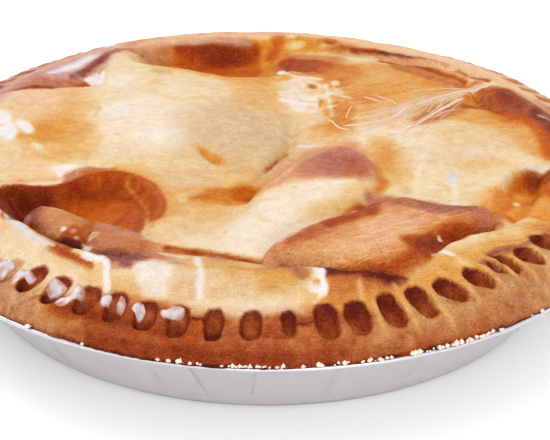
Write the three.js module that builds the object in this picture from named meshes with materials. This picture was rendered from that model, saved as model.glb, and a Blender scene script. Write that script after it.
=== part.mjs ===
// A round sweet pie with a crumpled, browned top crust and a crimped rim, baked in a foil tin.
// Millimetres, +Z up. The origin is the centre of the tin's flat base, and -Y is the side that faces you.
import * as THREE from "three";

// Driving dimensions of the foil tin.
const tin = {
  footRadius: 91.5, // outside of the wall where it leaves the base
  wallTopRadius: 108.4, // outside of the wall under the flange
  flangeRadius: 114.2, // where the flange turns into its rolled bead
  height: 27, // upper face of the flange
  foil: 0.6, // thickness
  cornerRise: 1.4, // height of the rounded foot
  beadRadius: 0.7, // rolled edge of the flange
  pleats: 25, // folds pressed into the wall
  pleatDepth: 0.8,
  pleatShare: 0.16, // share of the pleat pitch that a fold takes
};

// Clearance between the pastry and the foil.
const clearance = 0.3;

// Driving dimensions of the crimped rim. Radii are from the pie's axis, and tables go by degrees round it.
const rim = {
  overhang: 112.6, // radius of the pastry's underside on the flange
  bandOuter: 108.2, // the outer band between these radii takes the unevenness
  bandInner: 97.4,
  crimps: 66, // slots pressed round the rim
  slotInner: 99.8, // inner end of a slot
  // Outer end of a slot: on the right the slots are shorter.
  slotOuter: [
    [-180, 108.6], [-129, 108], [-113, 109.4], [-96, 110.2], [-68, 109.4], [-59, 106.6], [-50, 105.4],
    [-36, 105.4], [-26, 108.6],
  ],
  slotEnd: 1.1, // length of each sloping end
  slotDepth: 2.8,
  slotDepthSpread: 0.4, // the slots are pressed by hand, so their depth varies
  slotTurn: -0.7, // degrees that the slots are turned by
  slotDrift: 0.95, // degrees that the hand strayed by, three times round
  slotDriftTowards: -85, // degrees
  floorShare: 0.4, // share of the crimp pitch that is slot floor
  landShare: 0.34, // share of the crimp pitch that is land between slots
  liftMean: 0.6, // the shoulder stands a little higher on the right
  liftSwing: 0.7,
  liftTowards: 30, // degrees
  waver: 0.4, // uneven height of the hand-laid edge
  // The outer band is fuller round the back: extra height.
  fullness: [
    [-155, -0.5], [-128, -1], [-90, 0], [-60, 1], [-30, 2.2], [10, 3], [45, 2.6], [75, 1.2], [110, 3.2],
    [150, 3.4], [180, 2.6],
  ],
  // Two hollows of the lid reach further out under the shoulder: by how much.
  innerShift: [
    [-180, 0], [-165, 2], [-157, 4], [-146, 8], [-130, 8], [-116, 4], [-100, 0], [-52, 0], [-42, 3],
    [-32, 7], [-15, 5], [5, 0], [165, 0],
  ],
  // On the right the shoulder sank with the lid: by how much.
  sunk: [
    [-60, 0], [-46, 1], [-38, 3.6], [-22, 4], [-10, 2], [6, 0],
  ],
};

// The rim's cross-section from the hollow inside it, over the shoulder, to the outer roll: [radius, height].
const rimSection = [
  [70, 26],
  [77, 32.5],
  [81, 38],
  [84.5, 41.6],
  [88, 42.6],
  [93, 41.2],
  [97.4, 38],
  [103, 35.6],
  [108.2, 33.6],
  [111.6, 32],
  [113.6, 29.6],
];

// The lid inside the rim.
const lid = {
  level: 40.6, // height between the swells
  blend: 1.4, // width over which neighbouring forms melt together
  steep: 2.5, // slope that a form falls with beyond its outline
  tuck: 9, // how far the lid dips under the rim
  tuckStart: 85, // radius where it begins to
};

// Broad swells of the lid: centre, reach and height.
const swells = [
  { name: "left sheet", x: -45, y: 20, reachX: 42, reachY: 34, height: 3.6 },
  { name: "right sheet", x: 58, y: -12, reachX: 30, reachY: 32, height: 3.2 },
  { name: "far right sheet", x: 42, y: 52, reachX: 34, reachY: 22, height: 1.2 },
  { name: "front sheet", x: -20, y: -60, reachX: 30, reachY: 18, height: -0.4 },
  { name: "valley", x: 9, y: 8, reachX: 10, reachY: 34, height: -1.6 },
  { name: "middle dome", x: -14, y: 2, reachX: 22, reachY: 26, height: 1.2 },
  { name: "far middle", x: 14, y: 34, reachX: 26, reachY: 24, height: 0.8 },
];

// Folds that stand above the lid: outline, top plane as a height and two slopes, edge's drop and width.
const folds = [
  {
    name: "middle fold",
    outline: [
      [-6, -48], [-3, -37], [3, -27], [9, -18], [18, -10], [27, -8], [33, -14], [35, -28], [31, -42],
      [21, -52], [9, -60], [2, -74], [-8, -76], [-12, -62],
    ],
    middle: [15, -35], height: 44.6, slope: [0.02, 0.08], rise: 5, roll: 8,
  },
  {
    name: "front fold",
    outline: [
      [0, -78], [7, -66], [16, -58], [26, -53], [32, -46], [41, -42], [52, -45], [61, -46], [67, -46],
      [68, -51], [61, -57], [51, -66], [44, -77], [36, -82], [20, -82], [7, -80],
    ],
    middle: [36, -62], height: 45.2, slope: [-0.02, 0.035], rise: 6, roll: 6.5,
  },
  {
    name: "left bulge",
    outline: [
      [-72, -47], [-68, -41], [-61, -42], [-50, -50], [-40, -55], [-33, -61], [-28, -68], [-34, -73],
      [-46, -77], [-57, -70], [-66, -60], [-71, -53],
    ],
    middle: [-55, -58], height: 40.6, slope: [0.05, 0.03], rise: 6, roll: 7,
  },
];

// Places where the lid sank while baking: outline, floor plane, and the rise and width of the wall round it.
const hollows = [
  {
    name: "left hollow",
    outline: [
      [-81, -38], [-78, -33], [-69, -35], [-61, -32], [-53, -24], [-45, -23], [-38, -27], [-33, -36],
      [-30, -46], [-30, -58], [-34, -68], [-48, -70], [-62, -60], [-73, -52], [-80, -45],
    ],
    middle: [-56, -44], height: 33.8, slope: [0.18, -0.04], rise: 7.5, roll: 5.5,
  },
  {
    name: "far hollow",
    outline: [
      [-51, 76], [-43, 68], [-34, 64], [-26, 61], [-18, 57], [-8, 54], [5, 56], [13, 65], [8, 77],
      [-10, 87], [-34, 84],
    ],
    middle: [-18, 70], height: 35.4, slope: [0.12, -0.02], rise: 5.5, roll: 9,
  },
  {
    name: "navel",
    outline: [
      [0, -30], [-2, -38], [-7, -44], [-20, -42], [-18, -36], [-8, -32],
    ],
    middle: [-5, -37], height: 38.5, slope: [-0.12, 0], rise: 3, roll: 5,
  },
  {
    name: "right hollow",
    outline: [
      [68, -41], [70.5, -34], [74, -27], [79, -22], [86, -19.5], [95, -19], [101, -30], [96, -44],
      [86, -49], [75, -49], [69, -46],
    ],
    middle: [80, -34], height: 37.4, slope: [0, -0.1], rise: 5.5, roll: 7,
  },
  {
    name: "front hollow",
    outline: [
      [64, -50], [58, -55], [49, -64], [43, -74], [46, -78], [56, -70], [66, -59], [69, -52],
    ],
    middle: [55, -66], height: 37.2, slope: [0, 0], rise: 4, roll: 3.5,
  },
  {
    name: "far right hollow",
    outline: [
      [74, 48], [69, 38], [75, 27], [84, 18], [90, 6], [92, -8], [98, -10], [100, 8], [95, 34], [84, 49],
    ],
    middle: [84, 32], height: 37.6, slope: [0, 0], rise: 4, roll: 5,
  },
];

// Creases where sheets of pastry fold against each other, and one ridge, whose depth is negative.
const creases = [
  {
    name: "groove",
    line: [
      [-86, -36], [-76, -47], [-64, -62], [-52, -72], [-42, -75], [-32, -71], [-20, -72], [-8, -75],
      [5, -79], [16, -85],
    ],
    depth: 2, half: 2.2,
  },
  {
    name: "long crease",
    line: [
      [9, 24], [8, 8], [8, 0], [4, -11], [0, -21], [-2.5, -31],
    ],
    depth: 2.2, half: 3,
  },
  {
    name: "fold foot",
    line: [
      [1, -79], [10, -82], [22, -84.5], [35, -85.5], [44, -82], [51, -71], [59, -61],
    ],
    depth: 2.6, half: 2.4,
  },
  {
    name: "right pleat",
    line: [
      [10, 10], [24, 13], [38, 21], [52, 27], [63, 34], [74, 45],
    ],
    depth: -2.2, half: 4,
  },
  {
    name: "roll gap",
    line: [
      [-55, -50], [-52.5, -58], [-50, -66], [-49, -72],
    ],
    depth: 1.8, half: 2.2,
  },
  {
    name: "back seam",
    line: [
      [22, 80], [34, 76], [47, 70], [58, 64], [68, 57], [76, 48],
    ],
    depth: 1.6, half: 1.8,
  },
];

// Edges of the upper sheets: the lid drops on the left-hand side of the line, and climbs back over the run.
const edges = [
  {
    name: "left back edge",
    line: [
      [-97, 33], [-86, 39], [-76, 42], [-66, 41], [-59, 42], [-57, 50], [-56, 62], [-52, 71], [-44, 69],
      [-34, 64],
    ],
    drop: 1.8, run: 14,
  },
  {
    name: "right front edge",
    line: [
      [96, -19], [88, -19], [78, -21], [73, -27], [70, -34], [66, -41], [60, -44], [50, -44], [41, -40],
      [34, -36],
    ],
    drop: 1.6, run: 12,
  },
];

// The baker's steam slit.
const slit = { x: -17, y: -12, along: 7, across: 2.2, turn: -58, depth: 1.4 };

const degree = Math.PI / 180;
const fullTurn = 2 * Math.PI;

function smoothMax(a, b, width) {
  const near = Math.max(width - Math.abs(a - b), 0) / width;
  return Math.max(a, b) + (near * near * width) / 4;
}

function smoothMin(a, b, width) {
  return -smoothMax(-a, -b, width);
}

// Distance of a point from a turned ellipse's centre, in units of its half sizes.
function ellipseDistance(x, y, shape) {
  const cos = Math.cos(shape.turn * degree);
  const sin = Math.sin(shape.turn * degree);
  const dx = x - shape.x;
  const dy = y - shape.y;
  return Math.hypot((dx * cos + dy * sin) / shape.along, (dy * cos - dx * sin) / shape.across);
}

function smoothStep(low, high, value) {
  const share = Math.min(1, Math.max(0, (value - low) / (high - low)));
  return share * share * (3 - 2 * share);
}

// A smooth curve through the points, as a list of short straight steps.
function throughPoints(points, closed) {
  const type = "catmullrom";
  const curve = new THREE.CatmullRomCurve3(points.map(([x, y]) => new THREE.Vector3(x, y, 0)), closed, type);
  return curve.getPoints(4 * points.length);
}

// Distance to the nearest step of a curve, the side of it (left is positive) and the share of the way along.
function nearCurve(x, y, curve) {
  let nearest = { distance: Infinity, side: 0, share: 0 };
  for (let i = 0; i + 1 < curve.length; i++) {
    const dx = curve[i + 1].x - curve[i].x;
    const dy = curve[i + 1].y - curve[i].y;
    const alongX = x - curve[i].x;
    const alongY = y - curve[i].y;
    const t = Math.min(1, Math.max(0, (alongX * dx + alongY * dy) / (dx * dx + dy * dy + 1e-12)));
    const distance = Math.hypot(alongX - t * dx, alongY - t * dy);
    if (distance < nearest.distance) {
      nearest = { distance, side: Math.sign(dx * alongY - dy * alongX), share: (i + t) / (curve.length - 1) };
    }
  }
  return nearest;
}

// Distance to a closed outline, positive inside it.
function insideDistance(x, y, curve) {
  let inside = false;
  for (let i = 0; i + 1 < curve.length; i++) {
    const [a, b] = [curve[i], curve[i + 1]];
    if (a.y > y !== b.y > y && x < ((b.x - a.x) * (y - a.y)) / (b.y - a.y) + a.x) inside = !inside;
  }
  const { distance } = nearCurve(x, y, curve);
  return inside ? distance : -distance;
}

const foldCurves = folds.map((fold) => throughPoints(fold.outline, true));
const hollowCurves = hollows.map((hollow) => throughPoints(hollow.outline, true));
const creaseCurves = creases.map((crease) => throughPoints(crease.line, false));
const edgeCurves = edges.map((edge) => throughPoints(edge.line, false));

// Height of a rounded form: direction 1 stands up from its plane, -1 sinks below it.
function formHeight(x, y, form, curve, direction) {
  const plane = form.height + (x - form.middle[0]) * form.slope[0] + (y - form.middle[1]) * form.slope[1];
  const distance = insideDistance(x, y, curve);
  const share = Math.min(1, Math.max(0, distance / form.roll));
  const rolled = form.rise * (1 - Math.sqrt(1 - (1 - share) ** 2));
  return plane - direction * (rolled + Math.max(-distance, 0) * lid.steep);
}

// Height of the lid with its swells and the drops beyond its sheets' edges.
function lidHeight(x, y) {
  let z = lid.level;
  for (const swell of swells) {
    const distance = Math.hypot((x - swell.x) / swell.reachX, (y - swell.y) / swell.reachY);
    z += swell.height * Math.exp(-(distance ** 2));
  }
  edges.forEach((edge, i) => {
    const { distance, side, share } = nearCurve(x, y, edgeCurves[i]);
    const ends = smoothStep(0, 0.15, share) * smoothStep(0, 0.15, 1 - share);
    z -= edge.drop * smoothStep(0, 1.2, side * distance) * Math.exp(-distance / edge.run) * ends;
  });
  return z;
}

// Change of height along the creases, fading to nothing at both ends.
function creaseDepth(x, y) {
  return creases.reduce((sum, crease, i) => {
    const { distance, share } = nearCurve(x, y, creaseCurves[i]);
    const ends = smoothStep(0, 0.12, share) * smoothStep(0, 0.12, 1 - share);
    return sum + crease.depth * ends * Math.exp(-2 * (distance / crease.half) ** 2);
  }, 0);
}

function slitDepth(x, y) {
  return slit.depth * Math.max(0, 1 - ellipseDistance(x, y, slit) ** 2);
}

// Height of the rim's section at a radius, straight between its points.
function sectionHeight(radius) {
  const last = rimSection.length - 1;
  if (radius <= rimSection[0][0]) return rimSection[0][1];
  for (let i = 0; i < last; i++) {
    const [r0, z0] = rimSection[i];
    const [r1, z1] = rimSection[i + 1];
    if (radius <= r1) return z0 + ((z1 - z0) * (radius - r0)) / (r1 - r0);
  }
  return rimSection[last][1];
}

// A table's value at a turn in degrees, straight between its points and wrapping round.
function atTurn(table, turn) {
  const [firstTurn, firstValue] = table[0];
  const [lastTurn, lastValue] = table[table.length - 1];
  const wrapped = [[lastTurn - 360, lastValue], ...table, [firstTurn + 360, firstValue]];
  const next = wrapped.findIndex(([degrees]) => degrees > turn);
  const [[turn0, value0], [turn1, value1]] = [wrapped[next - 1], wrapped[next]];
  return value0 + ((value1 - value0) * (turn - turn0)) / (turn1 - turn0);
}

// Degrees from -180 up to 180.
function turnOf(angle) {
  return ((angle / degree + 540) % 360) - 180;
}

// Height of the rim alone, with its unevenness, which fades out towards the edge that lies on the flange.
function rimHeight(radius, angle) {
  const turn = turnOf(angle);
  const outer = rimSection[rimSection.length - 1][0];
  const fade = Math.min(1, (outer - radius) / (outer - rim.bandOuter));
  const inner = radius - atTurn(rim.innerShift, turn) * (1 - smoothStep(87, 100, radius));
  const lift = rim.liftMean + rim.liftSwing * Math.cos(angle - rim.liftTowards * degree);
  const waver = (rim.waver * (Math.sin(5 * angle + 1) + Math.sin(9 * angle + 2))) / 2;
  const band = smoothStep(86, 98, radius) * smoothStep(0, 1, fade);
  const sunk = atTurn(rim.sunk, turn) * (1 - smoothStep(94, 101, radius));
  return sectionHeight(inner) + (lift + waver) * fade + atTurn(rim.fullness, turn) * band - sunk;
}

function crustHeight(radius, angle) {
  const x = radius * Math.cos(angle);
  const y = radius * Math.sin(angle);
  let z = lidHeight(x, y);
  hollows.forEach((hollow, i) => {
    z = smoothMin(z, formHeight(x, y, hollow, hollowCurves[i], -1), lid.blend);
  });
  z -= lid.tuck * smoothStep(lid.tuckStart, rim.bandInner, radius);
  z = smoothMax(rimHeight(radius, angle), z, lid.blend);
  folds.forEach((fold, i) => {
    z = smoothMax(z, formHeight(x, y, fold, foldCurves[i], 1), lid.blend);
  });
  return z - creaseDepth(x, y) - slitDepth(x, y);
}

// A ring of vertices at the given angles, placed by radiusAt(angle, index) and heightAt(radius, ...).
function ring(angles, radiusAt, heightAt) {
  return angles.map((angle, index) => {
    const radius = radiusAt(angle, index);
    const z = heightAt(radius, angle, index);
    return { angle, position: [radius * Math.cos(angle), radius * Math.sin(angle), z] };
  });
}

function evenAngles(count) {
  return Array.from({ length: count }, (_, i) => (i * fullTurn) / count);
}

// Joins closed rings of any counts, each to the next. A ring of one vertex closes the skin there.
function skinRings(rings) {
  const positions = rings.flat().flatMap((vertex) => vertex.position);
  const indices = [];
  let first = 0;
  for (let i = 0; i + 1 < rings.length; i++) {
    const [near, far] = [rings[i], rings[i + 1]];
    const nearFirst = first;
    const farFirst = first + near.length;
    let a = 0;
    let b = 0;
    const angleOf = (list, k) => list[k % list.length].angle + fullTurn * Math.floor(k / list.length);
    const nearSteps = near.length > 1 ? near.length : 0;
    const farSteps = far.length > 1 ? far.length : 0;
    while (a < nearSteps || b < farSteps) {
      const stepNear = a < nearSteps && (b >= farSteps || angleOf(near, a + 1) <= angleOf(far, b + 1));
      const nearNow = nearFirst + (a % near.length);
      const farNow = farFirst + (b % far.length);
      if (stepNear) {
        indices.push(nearNow, nearFirst + ((a + 1) % near.length), farNow);
        a++;
      } else {
        indices.push(nearNow, farFirst + ((b + 1) % far.length), farNow);
        b++;
      }
    }
    first = farFirst;
  }
  const geometry = new THREE.BufferGeometry();
  geometry.setAttribute("position", new THREE.BufferAttribute(new Float32Array(positions), 3));
  geometry.setIndex(indices);
  geometry.computeVertexNormals();
  return geometry;
}

const pole = (z) => [{ angle: 0, position: [0, 0, z] }];

// Four angles to a pleat: one between the folds, then both edges of the fold and its bottom.
function pleatAngles() {
  const marks = [0, 0.5 - tin.pleatShare / 2, 0.5, 0.5 + tin.pleatShare / 2];
  const pitch = fullTurn / tin.pleats;
  return Array.from({ length: tin.pleats }, (_, i) => marks.map((mark) => (i + mark) * pitch)).flat();
}

// Inward set of the tin's wall at the bottom of a fold, fading out at foot and flange.
function pleatInset(index, heightShare) {
  return index % 4 === 2 ? tin.pleatDepth * Math.sin(Math.PI * heightShare) : 0;
}

// The foil's section runs along the outside from the base to the bead, then back along the inside.
function tinGeometry() {
  const angles = pleatAngles();
  const wallShares = [0, 0.5, 1];
  const flat = (radius, z) => ring(angles, () => radius, () => z);
  const wall = (inset, share) => {
    const foot = tin.footRadius - inset;
    const top = tin.wallTopRadius - inset;
    const z = tin.cornerRise + inset + share * (tin.height - tin.cornerRise - tin.foil);
    return ring(angles, (angle, index) => foot + (top - foot) * share - pleatInset(index, share), () => z);
  };
  const bead = [-150, -75, 0, 75, 150].map((turn) => {
    const radius = tin.flangeRadius + tin.beadRadius * Math.cos(turn * degree);
    return flat(radius, tin.height - tin.foil / 2 + tin.beadRadius * Math.sin(turn * degree));
  });
  return skinRings([
    pole(0),
    flat(tin.footRadius - tin.cornerRise, 0),
    ...wallShares.map((share) => wall(0, share)),
    ...bead,
    ...wallShares.reverse().map((share) => wall(tin.foil, share)),
    flat(tin.footRadius - tin.cornerRise - tin.foil, tin.foil),
    pole(tin.foil),
  ]);
}

// Angles of the crimped rings: four to a pitch, on both edges of a slot's floor and of the land.
function crimpAngles() {
  const pitch = fullTurn / rim.crimps;
  const halfFloor = rim.floorShare / 2;
  const halfLand = rim.landShare / 2;
  const marks = [halfLand, 0.5 - halfFloor, 0.5 + halfFloor, 1 - halfLand];
  const place = (angle) => {
    const drift = rim.slotDrift * Math.cos(3 * (angle - rim.slotDriftTowards * degree));
    return angle + (rim.slotTurn - drift) * degree;
  };
  return Array.from({ length: rim.crimps }, (_, i) => marks.map((mark) => place((i + mark) * pitch))).flat();
}

// The slots' floors are the second and third of every four marks.
function slotDrop(index) {
  const slot = Math.floor(index / 4);
  const onFloor = index % 4 === 1 || index % 4 === 2;
  return onFloor ? rim.slotDepth + rim.slotDepthSpread * Math.sin(2.4 * slot) : 0;
}

function pieGeometry() {
  const inset = tin.foil + clearance;
  const footRadius = tin.footRadius - tin.cornerRise - inset;
  const wallFoot = tin.footRadius - inset - tin.pleatDepth;
  const wallTop = tin.wallTopRadius - inset - tin.pleatDepth;
  const underside = tin.height - tin.foil / 2 + tin.beadRadius + clearance;
  const plainAngles = evenAngles(rim.crimps);
  const edgeAngles = evenAngles(2 * rim.crimps);
  const slotAngles = crimpAngles();
  const flat = (angles, radius, z) => ring(angles, () => radius, () => z);
  const onCrust = (angles, radius) => ring(angles, () => radius, crustHeight);
  const slotOuter = (angle) => atTurn(rim.slotOuter, turnOf(angle));
  const onFloor = (radiusAt) =>
    ring(slotAngles, radiusAt, (radius, angle, index) => crustHeight(radius, angle) - slotDrop(index));
  const edge = rimSection[rimSection.length - 1][0];
  const lidStep = 2.8;
  const lidRings = [];
  for (let radius = 96.4; radius > lidStep; radius -= lidStep) {
    const count = Math.max(8, Math.min(3 * rim.crimps, Math.round((fullTurn * radius) / lidStep)));
    lidRings.push(onCrust(evenAngles(count), radius));
  }
  return skinRings([
    pole(inset),
    flat(plainAngles, footRadius, inset),
    flat(plainAngles, wallFoot, inset + tin.cornerRise),
    flat(plainAngles, wallTop, underside),
    flat(edgeAngles, rim.overhang, underside),
    onCrust(edgeAngles, edge),
    onCrust(edgeAngles, 111.6),
    ring(slotAngles, slotOuter, crustHeight),
    onFloor((angle) => slotOuter(angle) - rim.slotEnd),
    onFloor(() => rim.slotInner + rim.slotEnd),
    onCrust(slotAngles, rim.slotInner),
    ...lidRings,
    pole(crustHeight(0, 0)),
  ]);
}

function part(name, geometry, colour, roughness, metalness) {
  const material = new THREE.MeshStandardMaterial({ color: colour, roughness, metalness });
  const mesh = new THREE.Mesh(geometry, material);
  mesh.name = name;
  return mesh;
}

const pie = new THREE.Group();
pie.add(part("foil_tin", tinGeometry(), 0xc9c8ca, 0.35, 0.9));
pie.add(part("pie", pieGeometry(), 0xd9a566, 0.5, 0));

export default pie;
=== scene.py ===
import math

import bpy
import numpy as np
from mathutils import Matrix, Vector


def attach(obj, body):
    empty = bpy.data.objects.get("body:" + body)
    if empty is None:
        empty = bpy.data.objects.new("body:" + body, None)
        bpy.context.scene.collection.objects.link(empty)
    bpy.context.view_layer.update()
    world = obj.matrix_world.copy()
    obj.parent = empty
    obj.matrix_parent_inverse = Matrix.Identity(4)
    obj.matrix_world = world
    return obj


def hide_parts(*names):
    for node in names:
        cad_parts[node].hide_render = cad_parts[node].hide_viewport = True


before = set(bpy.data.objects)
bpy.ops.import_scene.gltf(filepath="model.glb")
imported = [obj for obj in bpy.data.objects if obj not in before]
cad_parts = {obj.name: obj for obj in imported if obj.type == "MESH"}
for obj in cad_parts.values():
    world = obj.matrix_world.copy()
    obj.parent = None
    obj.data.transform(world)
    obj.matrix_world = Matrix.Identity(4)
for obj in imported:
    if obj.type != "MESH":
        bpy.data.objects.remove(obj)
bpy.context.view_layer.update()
mm = 0.001

# Camera at the photograph's angle, worked out from the outline of the tin and the rim.
view = {
    "distance": 600.0,  # mm from the target
    "elevation": 26.913,  # degrees above the table
    "roll": 0.749,  # degrees
    "target": (3.701, 0.0, 13.69),  # mm
    "focalPixels": 1840.6,  # focal length, in pixels of a picture 550 pixels wide
    "pictureWidth": 550,
    "sensorWidth": 36.0,  # mm
    "clip": (0.01, 20),  # nearest and furthest that it sees, in metres
}


def makeCamera():
    data = bpy.data.cameras.new("camera")
    data.sensor_width = view["sensorWidth"]
    data.lens = view["focalPixels"] * view["sensorWidth"] / view["pictureWidth"]
    data.clip_start, data.clip_end = view["clip"]
    camera = bpy.data.objects.new("camera", data)
    bpy.context.scene.collection.objects.link(camera)
    elevation = math.radians(view["elevation"])
    back = Vector((0, -math.cos(elevation), math.sin(elevation)))
    camera.location = (Vector(view["target"]) + back * view["distance"]) * mm
    aim = back.to_track_quat("Z", "Y").to_matrix()
    camera.rotation_euler = (aim @ Matrix.Rotation(math.radians(view["roll"]), 3, "Z")).to_euler()
    bpy.context.scene.camera = camera
    print("camera made")


makeCamera()

# The pastry's form, in mm from the middle of the tin's base: its driving sizes, as its solid has them.
rim = {
    "edge": 113.0,  # radius of the pastry's own edge
    "bandOuter": 108.2,  # the outer band inside this radius takes the unevenness
    "bandInner": 97.4,
    "liftMean": 0.6,  # the shoulder stands a little higher on the right
    "liftSwing": 0.7,
    "liftTowards": 30,  # degrees
    "waver": 0.4,
    "waves": [(5, 1), (9, 2)],  # two of them: how many round the rim, and where they begin in radians
    # The hand-laid outer band is fuller round the back: degrees, extra height.
    "fullness": [(-155, -0.5), (-128, -1), (-90, 0), (-60, 1), (-30, 2.2), (10, 3), (45, 2.6), (75, 1.2),
                 (110, 3.2), (150, 3.4), (180, 2.6)],
    "fullFrom": (86, 98),  # radii over which that sets in
    # Two hollows of the lid reach further out under the shoulder: degrees, by how much.
    "innerShift": [(-180, 0), (-165, 2), (-157, 4), (-146, 8), (-130, 8), (-116, 4), (-100, 0), (-52, 0),
                   (-42, 3), (-32, 7), (-15, 5), (5, 0), (165, 0)],
    "shiftFade": (87, 100),
    # On the right the shoulder sank with the lid: degrees, by how much.
    "sunk": [(-60, 0), (-46, 1), (-38, 3.6), (-22, 4), (-10, 2), (6, 0)],
    "sunkFade": (101, 94),
}
# Section of the rim from the hollow inside it, over the shoulder, to the outer roll: radius, height.
rimSection = [(70, 26), (77, 32.5), (81, 38), (84.5, 41.6), (88, 42.6), (93, 41.2), (97.4, 38),
              (103, 35.6), (108.2, 33.6), (111.6, 32), (113.6, 29.6)]
lid = {
    "level": 40.6,  # height between the swells
    "blend": 1.4,  # width over which neighbouring forms melt together
    "steep": 2.5,  # slope that a form falls with beyond its outline
    "tuck": 9.0,  # how far the lid dips under the rim
    "tuckStart": 85,  # radius where it begins to
    "formReach": 6,  # mm beyond its outline that a form still counts
    "edgeWidth": 1.2,  # width over which a sheet's edge drops
    "edgeEnds": (0.15, 0.15),  # shares of their length over which edges and creases begin and end
    "creaseEnds": (0.12, 0.12),
}
# Broad swells of the lid: x, y, reach across x and y, height.
swells = {
    "left sheet": (-45, 20, 42, 34, 3.6),
    "right sheet": (58, -12, 30, 32, 3.2),
    "far right sheet": (42, 52, 34, 22, 1.2),
    "front sheet": (-20, -60, 30, 18, -0.4),
    "valley": (9, 8, 10, 34, -1.6),
    "middle dome": (-14, 2, 22, 26, 1.2),
    "far middle": (14, 34, 26, 24, 0.8),
}
# Folds that stand above the lid: outline, top plane, and the rise and width of the rolled edge.
folds = {
    "middle fold": {
        "outline": [(-6, -48), (-3, -37), (3, -27), (9, -18), (18, -10), (27, -8), (33, -14), (35, -28),
                    (31, -42), (21, -52), (9, -60), (2, -74), (-8, -76), (-12, -62)],
        "middle": (15, -35), "height": 44.6, "slope": (0.02, 0.08), "rise": 5.0, "roll": 8.0,
    },
    "front fold": {
        "outline": [(0, -78), (7, -66), (16, -58), (26, -53), (32, -46), (41, -42), (52, -45), (61, -46),
                    (67, -46), (68, -51), (61, -57), (51, -66), (44, -77), (36, -82), (20, -82),
                    (7, -80)],
        "middle": (36, -62), "height": 45.2, "slope": (-0.02, 0.035), "rise": 6.0, "roll": 6.5,
    },
    "left bulge": {
        "outline": [(-72, -47), (-68, -41), (-61, -42), (-50, -50), (-40, -55), (-33, -61), (-28, -68),
                    (-34, -73), (-46, -77), (-57, -70), (-66, -60), (-71, -53)],
        "middle": (-55, -58), "height": 40.6, "slope": (0.05, 0.03), "rise": 6.0, "roll": 7.0,
    },
}
# Places where the lid sank: outline, floor plane, depth and width of the wall.
hollows = {
    "left hollow": {
        "outline": [(-81, -38), (-78, -33), (-69, -35), (-61, -32), (-53, -24), (-45, -23), (-38, -27),
                    (-33, -36), (-30, -46), (-30, -58), (-34, -68), (-48, -70), (-62, -60), (-73, -52),
                    (-80, -45)],
        "middle": (-56, -44), "height": 33.8, "slope": (0.18, -0.04), "rise": 7.5, "roll": 5.5,
    },
    "far hollow": {
        "outline": [(-51, 76), (-43, 68), (-34, 64), (-26, 61), (-18, 57), (-8, 54), (5, 56), (13, 65),
                    (8, 77), (-10, 87), (-34, 84)],
        "middle": (-18, 70), "height": 35.4, "slope": (0.12, -0.02), "rise": 5.5, "roll": 9.0,
    },
    "navel": {
        "outline": [(0, -30), (-2, -38), (-7, -44), (-20, -42), (-18, -36), (-8, -32)],
        "middle": (-5, -37), "height": 38.5, "slope": (-0.12, 0.0), "rise": 3.0, "roll": 5.0,
    },
    "right hollow": {
        "outline": [(68, -41), (70.5, -34), (74, -27), (79, -22), (86, -19.5), (95, -19), (101, -30),
                    (96, -44), (86, -49), (75, -49), (69, -46)],
        "middle": (80, -34), "height": 37.4, "slope": (0.0, -0.10), "rise": 5.5, "roll": 7.0,
    },
    "front hollow": {
        "outline": [(64, -50), (58, -55), (49, -64), (43, -74), (46, -78), (56, -70), (66, -59), (69, -52)],
        "middle": (55, -66), "height": 37.2, "slope": (0.0, 0.0), "rise": 4.0, "roll": 3.5,
    },
    "far right hollow": {
        "outline": [(74, 48), (69, 38), (75, 27), (84, 18), (90, 6), (92, -8), (98, -10), (100, 8),
                    (95, 34), (84, 49)],
        "middle": (84, 32), "height": 37.6, "slope": (0.0, 0.0), "rise": 4.0, "roll": 5.0,
    },
}
# Creases and ridges: points along the line, depth (negative for a ridge) and half width.
creases = {
    "groove": ([(-86, -36), (-76, -47), (-64, -62), (-52, -72), (-42, -75), (-32, -71), (-20, -72),
                (-8, -75), (5, -79), (16, -85)], 2.0, 2.2),
    "long crease": ([(9, 24), (8, 8), (8, 0), (4, -11), (0, -21), (-2.5, -31)], 2.2, 3.0),
    "fold foot": ([(1, -79), (10, -82), (22, -84.5), (35, -85.5), (44, -82), (51, -71), (59, -61)], 2.6,
                  2.4),
    "right pleat": ([(10, 10), (24, 13), (38, 21), (52, 27), (63, 34), (74, 45)], -2.2, 4.0),
    "roll gap": ([(-55, -50), (-52.5, -58), (-50, -66), (-49, -72)], 1.8, 2.2),
    "back seam": ([(22, 80), (34, 76), (47, 70), (58, 64), (68, 57), (76, 48)], 1.6, 1.8),
}
# Edges of the upper sheets: the lid drops by so much on the left of the line, and climbs back over the run.
edges = {
    "left back edge": ([(-97, 33), (-86, 39), (-76, 42), (-66, 41), (-59, 42), (-57, 50), (-56, 62),
                        (-52, 71), (-44, 69), (-34, 64)], 1.8, 14),
    "right front edge": ([(96, -19), (88, -19), (78, -21), (73, -27), (70, -34), (66, -41), (60, -44),
                          (50, -44), (41, -40), (34, -36)], 1.6, 12),
}

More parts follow.
